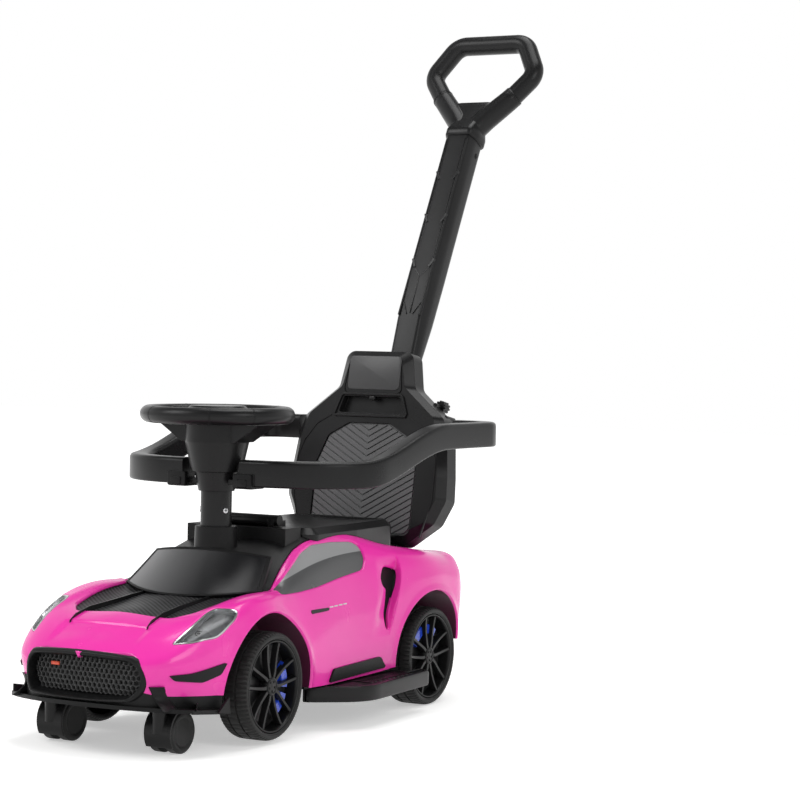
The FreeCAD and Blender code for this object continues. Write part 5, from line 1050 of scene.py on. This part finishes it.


# a dark sheet behind the comb, painted shade in the hollow nose, a plain tab on it and the small notch at the
# top
def buildGrilleParts(g):
    back = []
    for k in range(g["backSteps"] + 1):
        x = -g["backHalf"] + 2 * g["backHalf"] * k / g["backSteps"]
        back += [(x, noseLine(x) + g["backDepth"], z) for z in g["backLevels"]]
    faces = gridFaces(g["backSteps"] + 1, len(g["backLevels"]))
    makePiece("grilleShadeSheet", back, faces, "tyreBlack")
    tab = []
    cx, cz, halfX, halfZ = g["tab"]
    for depth, grow in g["tabRings"]:
        for sx, sz in ((-1, -1), (1, -1), (1, 1), (-1, 1)):
            x = cx + sx * (halfX + grow)
            tab.append((x, noseLine(x) + depth, cz + sz * (halfZ + grow)))
    faces = gridFaces(3, 4, ringLoop=True, flip=True) + [(8, 9, 10, 11)]
    makePiece("grilleTab", tab, faces, "tabOrange")
    notch = []
    half, high, low = g["notch"]
    for depth, reach in g["notchRings"]:
        for x, z in ((-half - reach, high), (0, low - reach * 2), (half + reach, high)):
            notch.append((x, noseLine(x) + depth, z))
    faces = gridFaces(3, 3, ringLoop=True, flip=True) + [(6, 7, 8)]
    makePiece("grilleNotch", notch, faces, "pinkGloss")


buildBezel(grilleSet)
buildComb(grilleSet)
buildGrilleParts(grilleSet)

# bonnet blades: thin fins that overhang the front of the set-in panel
bladeSet = {
    "spots": ((55.8, -137, 145.2), (55.2, -126, 149.2), (53.8, -101, 155.4), (49.9, -62, 160.4),
              (49.4, -24, 165.4), (48.8, 6, 169.4)),
    "half": (0.4, 1.0, 1.3, 1.3, 1.2, 0.8), "high": (1.2, 4.6, 5.0, 4.2, 3.0, 1.4), "top": 0.55, "base": -4.0,
}


def buildBlades(s):
    parts = []
    for turn in (1, -1):
        stations = []
        for spot, half, high in zip(s["spots"], s["half"], s["high"]):
            centre = np.array(spot) * (turn, 1, 1)
            stations.append((centre, (1, 0, 0), (0, 0, 1), half, half * s["top"], s["base"], high))
        parts.append((0, barPoints(stations)))
    points, faces = joined(parts)[:2]
    makePiece("hoodFins", points, faces, "blackGloss", ("hood_blades",), sharp=35)


buildBlades(bladeSet)

# lamp inside: two round projectors and a grey strip in each pocket
lampSet = {
    "projectors": (((121, -88, 148.5), 6.2), ((114, -112, 142), 5.0)), "projectorDrop": 6.5,
    # along the axis, share of the radius and change of it
    "projector": ((-3, 1, 0), (1.5, 1, 0), (2.2, 1, -0.8), (0.6, 1, -1.8), (1.8, 0.4, 0), (2.2, 0, 0.02)),
    "projectorSteps": 28,
    "strip": ((104.5, -128, 141.5), (110, -78, 162.0)), "stripDrop": 5.5, "stripSide": (0.75, 0.1, -0.6),
    "stripShape": (1.6, 1.0, -1, 1.2), "stripSteps": 6,
}


def buildLampInside(s):
    parts = []
    for turn in (1, -1):
        way = np.array((turn, 1, 1))
        out = lampFacing * way
        axis = Vector((1, 0, 0)).rotation_difference(Vector(out)).to_matrix()
        for spot, radius in s["projectors"]:
            profile = [(along, radius * share + more) for along, share, more in s["projector"]]
            ring, faces = turnedPoints(profile, s["projectorSteps"])
            centre = np.array(spot) * way - out * s["projectorDrop"]
            parts.append((0, ([np.array(axis @ Vector(q)) + centre for q in ring], faces)))
        a, b = (np.array(q) * way - out * s["stripDrop"] for q in s["strip"])
        side, steps = np.array(s["stripSide"]) * way, s["stripSteps"]
        stations = [(a + (b - a) * k / steps, side, out, *s["stripShape"]) for k in range(steps + 1)]
        parts.append((1, barPoints(stations)))
    points, faces, groups = joined(parts)
    makePiece("lampInside", points, faces, ("blackGloss", "lampGrey"), groups=groups, sharp=35)


buildLampInside(lampSet)

# windscreen: one framed panel between a low and a high edge, each given from the middle to the side
screenSet = {
    "low": ((0, -7.5, 167.2), (100, 38, 174.5)), "high": ((0, 60, 220.5), (86, 82, 213)), "bulge": -1.2,
    "lift": 2.2, "out": (0, -0.72, 0.69), "columns": 36, "rows": 18, "frame": 0.04, "frameIn": 1.15,
    "frameLift": 0.7, "frameRows": 3, "skirt": -4.0, "bulgeEase": 0.5,
}


def screenPoint(s, u, v, lift):
    low, high = (np.array((end[0] * u, *(middle[i] + (end[i] - middle[i]) * u * u for i in (1, 2))))
                 for middle, end in (s["low"], s["high"]))
    bulge = s["bulge"] * 4 * v * (1 - v) * (1 - u * u * s["bulgeEase"])
    return low * (1 - v) + high * v + np.array(s["out"]) * (s["lift"] + lift + bulge)


def buildScreen(s):
    edge = s["frame"]
    inner = edge * s["frameIn"]
    us = [-1, -1, -1 + edge, *np.linspace(-1 + inner, 1 - inner, s["columns"]), 1 - edge, 1, 1]
    vs = [0, 0, edge, *np.linspace(inner, 1 - inner, s["rows"]), 1 - edge, 1, 1]
    wide, tall, rim = len(us), len(vs), s["frameRows"]
    points = []
    for i, u in enumerate(us):
        for j, v in enumerate(vs):
            depth = min(i, j, wide - 1 - i, tall - 1 - j)
            lift = s["skirt"] if depth == 0 else s["frameLift"] if depth < rim else 0
            points.append(screenPoint(s, u, v, lift))
    groups = [0 if rim <= i < wide - 1 - rim and rim <= j < tall - 1 - rim else 1
              for i in range(wide - 1) for j in range(tall - 1)]
    makePiece("windPanel", points, gridFaces(wide, tall), ("screenGlass", "blackGrain"),
              ("windscreen",), groups=groups, sharp=35)


buildScreen(screenSet)
print("nose built")


# rings of points joined into one closed form
def loftRings(rings):
    count = len(rings[0])
    faces = gridFaces(len(rings), count, ringLoop=True, flip=True)
    faces.append(tuple(reversed(range(count))))
    faces.append(tuple(range((len(rings) - 1) * count, len(rings) * count)))
    return [q for ring in rings for q in ring], faces


def roundRing(corners, steps=4):
    ring = []
    count = len(corners)
    for i, (a, b, radius) in enumerate(corners):
        here = np.array((a, b))
        before = unit(np.array(corners[i - 1][:2]) - here)
        after = unit(np.array(corners[(i + 1) % count][:2]) - here)
        for k in range(steps + 1):
            t = k / steps
            ring.append(here + before * radius * (1 - t) ** 2 + after * radius * t ** 2)
    return ring


def boxRing(halfA, halfB, radius):
    return roundRing([(halfA * a, halfB * b, radius) for a, b in ((1, 1), (-1, 1), (-1, -1), (1, -1))])


# pad with a softened upper edge; its shape is both half sizes, low and high levels, edge and corner
padEase, leastCorner = 0.3, 0.1


def softPad(centre, side, ahead, out, halfA, halfB, low, high, edge, corner):
    c, s, h, o = (np.array(v, float) for v in (centre, side, ahead, out))
    rings = []
    ease = edge * padEase
    for level, inset in ((low, 0), (high - edge, 0), (high - ease, ease), (high, edge)):
        ring = boxRing(halfA - inset, halfB - inset, max(corner - inset, leastCorner))
        rings.append([c + s * a + h * b + o * level for a, b in ring])
    return loftRings(rings)


def solidPiece(name, parts, finishNames, replaced=(), body="car", sharp=35):
    points, faces, groups = joined(parts)
    makePiece(name, points, faces, finishNames, replaced, body, groups)
    mesh = bpy.data.objects[name].data
    work = bmesh.new()
    work.from_mesh(mesh)
    bmesh.ops.recalc_face_normals(work, faces=work.faces[:])
    work.to_mesh(mesh)
    work.free()
    mesh.set_sharp_from_angle(angle=math.radians(sharp))


# guard rail: one smooth band on each side from the column round to the backrest
guardSet = {
    "start": (41, 83), "corner": (170, 95), "rear": (184, 484), "end": (122, 484), "bends": (112, 34),
    "half": 12.5, "tall": 33, "lowRound": 3, "topRound": 7, "low": 299, "rise": 43, "riseFrom": 150,
    "riseTo": 345, "steps": 26, "straights": (3, 30), "cornerSteps": 5, "clip": (49, 69.8, 306),
    # drop and shape of the clip's two pads, then place and shape of the plate under the band
    "clipPads": ((0, (13.5, 9.0, -4, 3.0, 1.2, 2)), (-2.5, (7.425, 4.95, -4, 4.6, 1.2, 2))),
    "plate": (14, -0.4, (13.5, 15, -3, 2.2, 1.0, 3)),
}


def guardLine(s):
    corners = [np.array(s[k], float) for k in ("start", "corner", "rear", "end")]
    line = [corners[0]]
    for i, (bend, steps) in enumerate(zip(s["bends"], s["straights"]), 1):
        here = corners[i]
        back = unit(corners[i - 1] - here)
        ahead = unit(corners[i + 1] - here)
        half = math.acos(float(back @ ahead)) / 2
        centre = here + unit(back + ahead) * bend / math.sin(half)
        first = here + back * bend / math.tan(half)
        last = here + ahead * bend / math.tan(half)
        begin = line[-1]
        line += [begin + (first - begin) * k / steps for k in range(1, steps)]
        a, b = first - centre, last - centre
        turn = math.acos(float(a @ b) / bend / bend)
        for k in range(s["steps"] + 1):
            t = k / s["steps"]
            line.append(centre + (a * math.sin((1 - t) * turn) + b * math.sin(t * turn)) / math.sin(turn))
    return line + [corners[3]]


def buildGuard(s):
    line = guardLine(s)
    half, tall = s["half"], s["tall"]
    low, top = s["lowRound"], s["topRound"]
    corners = ((half, 0, low), (half, tall, top), (-half, tall, top), (-half, 0, low))
    ring = roundRing(corners, s["cornerSteps"])
    parts = []
    x, y, z = s["clip"]
    plateBack, plateDrop, plateShape = s["plate"]
    for turn in (1, -1):
        rings = []
        for i, spot in enumerate(line):
            ahead = unit(line[min(i + 1, len(line) - 1)] - line[max(i - 1, 0)])
            t = min(max((spot[1] - s["riseFrom"]) / (s["riseTo"] - s["riseFrom"]), 0), 1)
            base = s["low"] + s["rise"] * t * t * (3 - 2 * t)
            rings.append([np.array(((spot[0] + ahead[1] * a) * turn, spot[1] - ahead[0] * a, base + b))
                          for a, b in ring])
        parts.append((0, loftRings(rings)))
        for lift, shape in s["clipPads"]:
            centre = (x * turn, y, z + lift)
            parts.append((1, softPad(centre, (turn, 0, 0), (0, 0, 1), (0, -1, 0), *shape)))
        centre = (x * turn, y + plateBack, s["low"] + plateDrop)
        parts.append((1, softPad(centre, (turn, 0, 0), (0, 1, 0), (0, 0, -1), *plateShape)))
    solidPiece("guardBand", parts, ("blackSatin", "blackGrain"), ("guard_rail",), sharp=40)


buildGuard(guardSet)

# footrests: rounded slotted trays, slots shown as dark inset bars, their darkness painted shade for the
# slots' depth, with low lips
traySet = {
    "outline": ((118, 110, 3), (126, 112, 10), (184, 158, 34), (171, 338, 12), (151, 338, 4), (151, 306, 6),
                (118, 306, 3)),
    "levels": ((34, 3.0), (34.8, 1.0), (37, 0), (51, 0), (53.2, 0.8), (54.2, 2.6), (54.2, 4.4), (53.2, 5.2),
               (53.2, 6.2)),
    "slots": (196, 218, 240, 262, 284), "slotX": (124, 166), "slotZ": 53.2, "lipShift": 5.6, "lipMore": 2,
    # half along the car, low, high, edge and corner of a slot and of its lips
    "slot": (4.0, -2, 0.25, 0.1, 3.6), "lip": (2.2, -2, 1.3, 0.6, 1.5),
    "cornerSteps": 7, "sharpest": 0.35, "cornerShare": 0.3, "leastCorner": 0.3,
}


def insetRing(s, inset):
    done = []
    corners = s["outline"]
    for i, (a, b, radius) in enumerate(corners):
        here = np.array((a, b), float)
        one = unit(here - np.array(corners[i - 1][:2]))
        two = unit(np.array(corners[(i + 1) % len(corners)][:2]) - here)
        n1, n2 = np.array((-one[1], one[0])), np.array((-two[1], two[0]))
        way = unit(n1 + n2)
        spot = here + way * inset / max(float(way @ n1), s["sharpest"])
        done.append((spot[0], spot[1], max(radius - inset * s["cornerShare"], s["leastCorner"])))
    return roundRing(done, s["cornerSteps"])


def buildTrays(s):
    lowX, highX = s["slotX"]
    half = (highX - lowX) / 2
    for name, turn in (("Left", 1), ("Right", -1)):
        axes = ((turn, 0, 0), (0, 1, 0), (0, 0, 1))
        rings = [[np.array((a * turn, b, z)) for a, b in insetRing(s, inset)]
                 for z, inset in s["levels"]]
        parts = [(0, loftRings(rings))]
        for y in s["slots"]:
            x = (lowX + highX) / 2 * turn
            # each slot's bar in a darker finish: painted shade
            parts.append((1, softPad((x, y, s["slotZ"]), *axes, half, *s["slot"])))
            for side in (-1, 1):
                spot = (x, y + side * s["lipShift"], s["slotZ"])
                parts.append((0, softPad(spot, *axes, half + s["lipMore"], *s["lip"])))
        node = "footrest_" + name.lower()
        solidPiece("tray" + name, parts, ("blackSatin", "tyreBlack"), (node,), sharp=40)


buildTrays(traySet)


# places on a leaning part: across it, along its lean and out from its face
def leaningPlace(lean, foot):
    s, c = math.sin(math.radians(lean)), math.cos(math.radians(lean))
    return lambda x, h, out: np.array(foot, float) + np.array((x, s * h - c * out, c * h + s * out))


# flat bar along a path of (across, along) on a leaning part
def leaningBar(at, path, half, rise, out=0.0, top=0.6, base=-1.5, closed=False):
    stations = []
    origin = at(0, 0, 0)
    count = len(path)
    for i, (x, h) in enumerate(path):
        before = path[i - 1] if i or closed else path[i]
        after = path[(i + 1) % count] if i + 1 < count or closed else path[i]
        along = unit(np.array(after, float) - np.array(before, float))
        side = at(-along[1], along[0], 0) - origin
        stations.append((at(x, h, out), side, at(0, 0, 1) - origin, half, half * top, base, rise))
    if closed:
        stations.append(stations[0])
    return barPoints(stations)


# push handle: grooved stem and forked yoke, both laid out along the leaning axis
stemSet = {
    "groove": 13.6, "grooveTop": 4, "notches": (-62, -133, -207), "vertex": -226, "vertexRise": 16,
    "front": 27,
    "corners": ((18, 27, 4), (23, 12, 5), (23, -10, 7), (15, -15, 5)),
    # height along the lean, and shares of width and depth
    "rings": ((12, 1, 1), (-20, 1, 1), (-120, 1, 1), (-220, 1.01, 1), (-290, 1.01, 0.93), (-364, 0.97, 0.56),
              (-366, 0.96, 0.54), (-480, 0.96, 0.54)),
    "branch": ((1.0, -268), (0.35, -286)), "ridge": (16.4, 2, -288), "tail": -284,
    "notch": ((17.2, 9), (14.6, 3), (11.2, -4)),
    # half width, shift from the front face and rise of the lines and bars on it
    "bars": {"groove": (0.7, 0, 0.12), "branch": (0.7, -0.6, 0.5), "ridge": (1.3, -0.3, 1.0),
             "notch": (2.1, 0, 1.5), "tail": (0.7, -0.5, 0.6)},
    "barTop": 0.8, "barBase": -1.2,
}
onHandle = leaningPlace(27.3, (0, 718, 762))


def mirroredRings(corners, levels):
    rings = []
    for h, wide, deep in levels:
        full = [(x * wide, d * deep, r) for x, d, r in corners]
        full += [(-x, d, r) for x, d, r in reversed(full)]
        rings.append([onHandle(x, h, d) for x, d in roundRing(full)])
    return loftRings(rings)


def buildStem(s):
    parts = [(0, mirroredRings(s["corners"], s["rings"]))]

    def addBar(group, kind, path):
        half, shift, rise = s["bars"][kind]
        bar = leaningBar(onHandle, path, half, rise, s["front"] + shift, s["barTop"], s["barBase"])
        parts.append((group, bar))
    low = s["vertex"]
    bend = low + s["vertexRise"]
    ridge, ridgeTop, ridgeLow = s["ridge"]
    for turn in (1, -1):
        edge = s["groove"] * turn
        addBar(1, "groove", ((edge, s["grooveTop"]), (edge, bend)))
        addBar(1, "groove", ((edge, bend), (0, low)))
        addBar(1, "branch", [(edge * share, h) for share, h in s["branch"]])
        addBar(0, "ridge", ((ridge * turn, ridgeTop), (ridge * turn, ridgeLow)))
        for h in s["notches"]:
            addBar(1, "notch", [(x * turn, h + rise) for x, rise in s["notch"]])
    addBar(1, "tail", ((0, low), (0, s["tail"])))
    solidPiece("pushStem", parts, ("blackSatin", "blackGloss"), ("handle_stem",), sharp=40)


yokeSet = {
    "corners": ((20, 30, 5), (26.5, 13, 6), (26.5, -12, 8), (17, -18, 6)),
    "rings": ((9, 0.95, 0.95), (10.5, 1, 1), (20, 1, 1), (24, 0.97, 0.96), (38, 0.9, 0.66), (54, 1.0, 0.42),
              (70, 1.25, 0.34), (76, 1.3, 0.3), (77.5, 1.24, 0.24)),
    "arm": ((9, 22), (14, 36), (24, 50), (38, 66), (52, 82), (60, 91), (61, 92)),
    # half width, half depth and shift out along the arm
    "radii": ((15, 17, 4), (16, 17.5, 3), (16.2, 17, 2), (16, 16.4, 1), (15.6, 15.8, 0), (15.4, 15.4, 0),
              (14.2, 14.2, 0)),
    "seams": (0.90, 0.955), "seamRun": (3, 5), "seamWide": 0.8, "seam": (15.75, 15.85, 0),
    "steps": 22,
}


def armTube(path, radii, steps):
    rings = []
    for i, (spot, (wide, deep, shift)) in enumerate(zip(path, radii)):
        along = unit(np.array(path[min(i + 1, len(path) - 1)]) - np.array(path[max(i - 1, 0)]))
        side = np.array((-along[1], along[0]))
        ring = []
        for k in range(steps):
            a = 2 * math.pi * k / steps
            flat = np.array(spot) + side * math.cos(a) * wide
            ring.append(onHandle(flat[0], flat[1], shift + math.sin(a) * deep))
        rings.append(ring)
    return loftRings(rings)


def buildYoke(s):
    parts = [(0, mirroredRings(s["corners"], s["rings"]))]
    for turn in (1, -1):
        path = [(x * turn, h) for x, h in s["arm"]]
        parts.append((0, armTube(path, s["radii"], s["steps"])))
        a, b = (np.array(path[k]) for k in s["seamRun"])
        for share in s["seams"]:
            spot = a + (b - a) * share
            band = [spot, spot + unit(b - a) * s["seamWide"]]
            parts.append((1, armTube(band, [s["seam"]] * 2, s["steps"])))
    solidPiece("pushYoke", parts, ("blackSatin", "blackGloss"), ("handle_yoke",), sharp=50)


buildStem(stemSet)
buildYoke(yokeSet)

# backrest: framed pocket with a nub, crease lines and a head panel
backSet = {
    "frame": ((-56, 176), (-57, 180), (-49, 203), (-45, 206), (45, 206), (49, 203), (57, 180), (56, 176)),
    "frameBar": (2.4, 2.6), "crease": ((62, 176), (84, 163), (101, 140), (110, 116), (110, 62), (96, 12)),
    "creaseBar": (0.9, 0.9),
    # height along the lean, place out from the face and shape
    "nub": (201, -2, (5, 3, -3, 3, 1.2, 2.6)), "head": (236, 0, (41, 23.5, -0.6, 0.9, 0.7, 7)),
}
onBack = leaningPlace(9.8, (0, 430, 204))


def buildBackTrim(s):
    parts = [(0, leaningBar(onBack, s["frame"], *s["frameBar"], closed=True))]
    for turn in (1, -1):
        parts.append((0, leaningBar(onBack, [(x * turn, h) for x, h in s["crease"]], *s["creaseBar"])))
    rise, lift = (onBack(*way) - onBack(0, 0, 0) for way in ((0, 1, 0), (0, 0, 1)))
    for group, (h, out, shape) in enumerate((s["nub"], s["head"])):
        parts.append((group, softPad(onBack(0, h, out), (1, 0, 0), rise, lift, *shape)))
    solidPiece("backTrim", parts, ("blackSatin", "headGrey"))


buildBackTrim(backSet)

# plain pale dashes on each door and two screws on the column
markSet = {
    "dashes": (146, 157, 168, 179), "dashLevel": 150.4, "dashSlope": 0.03, "dashFrom": 250,
    "dash": (4.2, 0.8, -0.6, 0.35, 0.15, 0.5),
    "screwAt": (0, 85, 268), "screwOut": 19.6, "screwAngles": (20, 160),
    "screw": ((0, (3.4, 3.4, -1.5, 0.9, 0.5, 3.2)), (1, (2.3, 0.5, -1, 1.05, 0.1, 0.3)),
              (1, (0.5, 2.3, -1, 1.05, 0.1, 0.3))),
}


def buildMarks(s):
    parts = []
    tree = BVHTree.FromObject(bpy.data.objects["bodySkin"], bpy.context.evaluated_depsgraph_get())
    for turn in (1, -1):
        for y in s["dashes"]:
            level = s["dashLevel"] + (y - s["dashes"][0]) * s["dashSlope"]
            start = place(s["dashFrom"] * turn, y, level)
            spot, normal = tree.ray_cast(start, Vector((-turn, 0, 0)))[:2]
            centre = np.array((spot.x, spot.y - yShift, spot.z)) * 1000
            out = unit(np.array(normal))
            ahead = unit(np.cross((0, 0, 1), out))
            parts.append((0, softPad(centre, ahead, np.cross(out, ahead), out, *s["dash"])))
    solidPiece("doorDashes", parts, "dashPale")
    parts = []
    for angle in s["screwAngles"]:
        a = math.radians(angle)
        out = np.array((math.cos(a), -math.sin(a), 0))
        centre = np.array(s["screwAt"]) + out * s["screwOut"]
        for group, shape in s["screw"]:
            parts.append((group, softPad(centre, np.cross((0, 0, 1), out), (0, 0, 1), out, *shape)))
    solidPiece("columnScrews", parts, ("steelRod", "blackGloss"))


buildMarks(markSet)

# casters drawn a little narrower about their stems, and the lip with its underside up at the sloping plate
reshapeSet = {"place": 78, "keep": 8, "share": 0.80, "lipLow": 46, "lipEnd": -82, "lipSlope": 0.1017}


# a copy of a node's mesh with its points changed, in millimetres
def reshaped(node, name, finish, change, body):
    mesh = nodes[node].data.copy()
    flat = np.empty(len(mesh.vertices) * 3)
    mesh.vertices.foreach_get("co", flat)
    spots = flat.reshape(-1, 3) * 1000
    spots[:, 1] -= yShift * 1000
    change(spots)
    spots[:, 1] += yShift * 1000
    mesh.vertices.foreach_set("co", (spots / 1000).ravel())
    mesh.materials.clear()
    mesh.materials.append(finishes[finish])
    mesh.update()
    linkPiece(name, mesh, body, (node,))


def narrowed(turn):
    def change(spots):
        s = reshapeSet
        off = spots[:, 0] - s["place"] * turn
        far = np.maximum(np.abs(off) - s["keep"], 0)
        reach = np.minimum(np.abs(off), s["keep"]) + far * s["share"]
        spots[:, 0] = np.sign(off) * reach + s["place"] * turn
    return change


def drawnUp(spots):
    s = reshapeSet
    plate = s["lipLow"] + np.maximum(s["lipEnd"] - spots[:, 1], 0) * s["lipSlope"]
    spots[:, 2] = np.maximum(spots[:, 2], plate)


casterLooks = (("Fork", "blackSatin", "black_plastic"), ("Wheels", "tyreBlack", "tyre_plastic"))
for side, turn in (("left", 1), ("right", -1)):
    for kind, finish, slot in casterLooks:
        node = "caster_%s_%s" % (kind.lower(), side)
        reshaped(node, "caster" + kind + side.title(), finish, narrowed(turn), node)
reshaped("front_splitter", "frontLip", "blackGrain", drawnUp, "car")

# seams round the steering rim
seamSet = {
    "centre": (0, 85, 387), "ring": 86, "tube": 10.65, "steps": 28,
    "angles": (28, 62, 118, 152, 208, 242, 298, 332),
    # shift along the rim and change of radius
    "rings": ((-1.6, -0.3), (-1, 0), (-0.4, 0), (0, -0.21), (0.4, 0), (1, 0), (1.6, -0.3)),
}


def buildSeams(s):
    parts = []
    for angle in s["angles"]:
        a = math.radians(angle)
        out = np.array((math.cos(a), math.sin(a), 0))
        along = np.array((-math.sin(a), math.cos(a), 0))
        centre = np.array(s["centre"], float) + out * s["ring"]
        rings = []
        for shift, grow in s["rings"]:
            ring = []
            for k in range(s["steps"]):
                b = 2 * math.pi * k / s["steps"]
                way = out * math.cos(b) + np.array((0, 0, 1)) * math.sin(b)
                ring.append(centre + along * shift + way * (s["tube"] + grow))
            rings.append(ring)
        parts.append((0, loftRings(rings)))
    solidPiece("wheelSeams", parts, "blackGrain", body="steering")


buildSeams(seamSet)
print("fittings built")

# lower lip: a broad slanted vane and a small fin on each side
vaneSet = {
    "top": ((87.6, -176.5, 84), (102, -165.5, 84)), "low": ((109, -177, 57), (113, -155, 57)),
    "deep": (-9, 13, 0), "sag": (-5, 4, 0), "steps": 8,
    # share of the way across the vane and of its depth, round the section
    "section": ((0.06, 0.12), (0, 0), (0.08, -0.1), (0.5, -0.16), (0.92, -0.1), (1, 0), (1, 0.5), (1, 1),
                (0, 1), (0, 0.5)),
    "taper": (0.35, 1.6, 0.6),
    "fin": ((116, -120, 57), (124, -132, 57.5), (131, -144, 58)), "finHigh": (1.5, 6, 7.5),
    "finSide": (0.85, -0.5, 0), "finOut": (0.2, 0, 1), "finShape": (2.4, 0.7, -2),
}


def buildVanes(s):
    parts = []
    thin, early, late = s["taper"]
    for turn in (1, -1):
        way = np.array((turn, 1, 1))
        rings = []
        for k in range(s["steps"] + 1):
            t = k / s["steps"]
            sag = np.array(s["sag"]) * math.sin(math.pi * t)
            a, b = (np.array(top) * (1 - t) + np.array(low) * t + sag for top, low in zip(s["top"], s["low"]))
            back = np.array(s["deep"], float) * (1 - thin * t * t * (early - late * t))
            rings.append([(a + (b - a) * across + back * deep) * way for across, deep in s["section"]])
        parts.append((0, loftRings(rings)))
        side, out = np.array(s["finSide"]) * way, np.array(s["finOut"]) * way
        stations = [(np.array(spot) * way, side, out, *s["finShape"], high)
                    for spot, high in zip(s["fin"], s["finHigh"])]
        parts.append((0, barPoints(stations)))
    solidPiece("lipVanes", parts, "blackGrain")


buildVanes(vaneSet)
print("lip dressed")

# wheel wells: a liner above each wheel, closed on the inner side, its pink darkened to maroon as painted
# shade
wellSet = {"wall": 1.5, "inner": 79, "outer": 121, "low": 92, "steps": 30, "clear": 0.004}


def buildWells(s):
    parts = []
    back = s["inner"] - s["wall"]
    for turn in (1, -1):
        for y, z, radius in archSet:
            far = radius + s["wall"]
            start = math.asin((s["low"] - z) / radius) + s["clear"]
            rings = []
            for k in range(s["steps"] + 1):
                a = start + (math.pi - 2 * start) * k / s["steps"]
                short = (s["low"] - z) / math.sin(a)
                corners = ((back, short), (back, far), (s["outer"], far), (s["outer"], radius),
                           (s["inner"], radius), (s["inner"], short))
                rings.append([np.array((x * turn, y + r * math.cos(a), z + r * math.sin(a)))
                              for x, r in corners])
            parts.append((0, loftRings(rings)))
    solidPiece("wheelWells", parts, "archDark")


buildWells(wellSet)
print("wells lined")

# finishes of the nodes themselves, by the start of their names; the first that fits is taken
nodeFinish = (
    (("body_shell", "front_fender"), "pinkGloss"), (("backrest_panel",), "panelGrey"),
    (("rear_axle", "steering_shaft", "knuckle"), "steelRod"), (("windscreen",), "screenGlass"),
    (("headlight_lens",), "lensClear"), (("tyre", "caster_wheels"), "tyreBlack"),
    (("rim", "brake", "hood", "grille"), "blackGloss"),
    (("guard", "seat", "handle", "steering_wheel", "backrest", "column"), "blackSatin"),
    (("",), "blackGrain"),
)
for nodeName in nodes:
    mesh = nodes[nodeName].data
    mesh.materials.clear()
    finish = next(finish for starts, finish in nodeFinish if nodeName.startswith(starts))
    mesh.materials.append(finishes[finish])
print("nodes dressed", len(nodes))
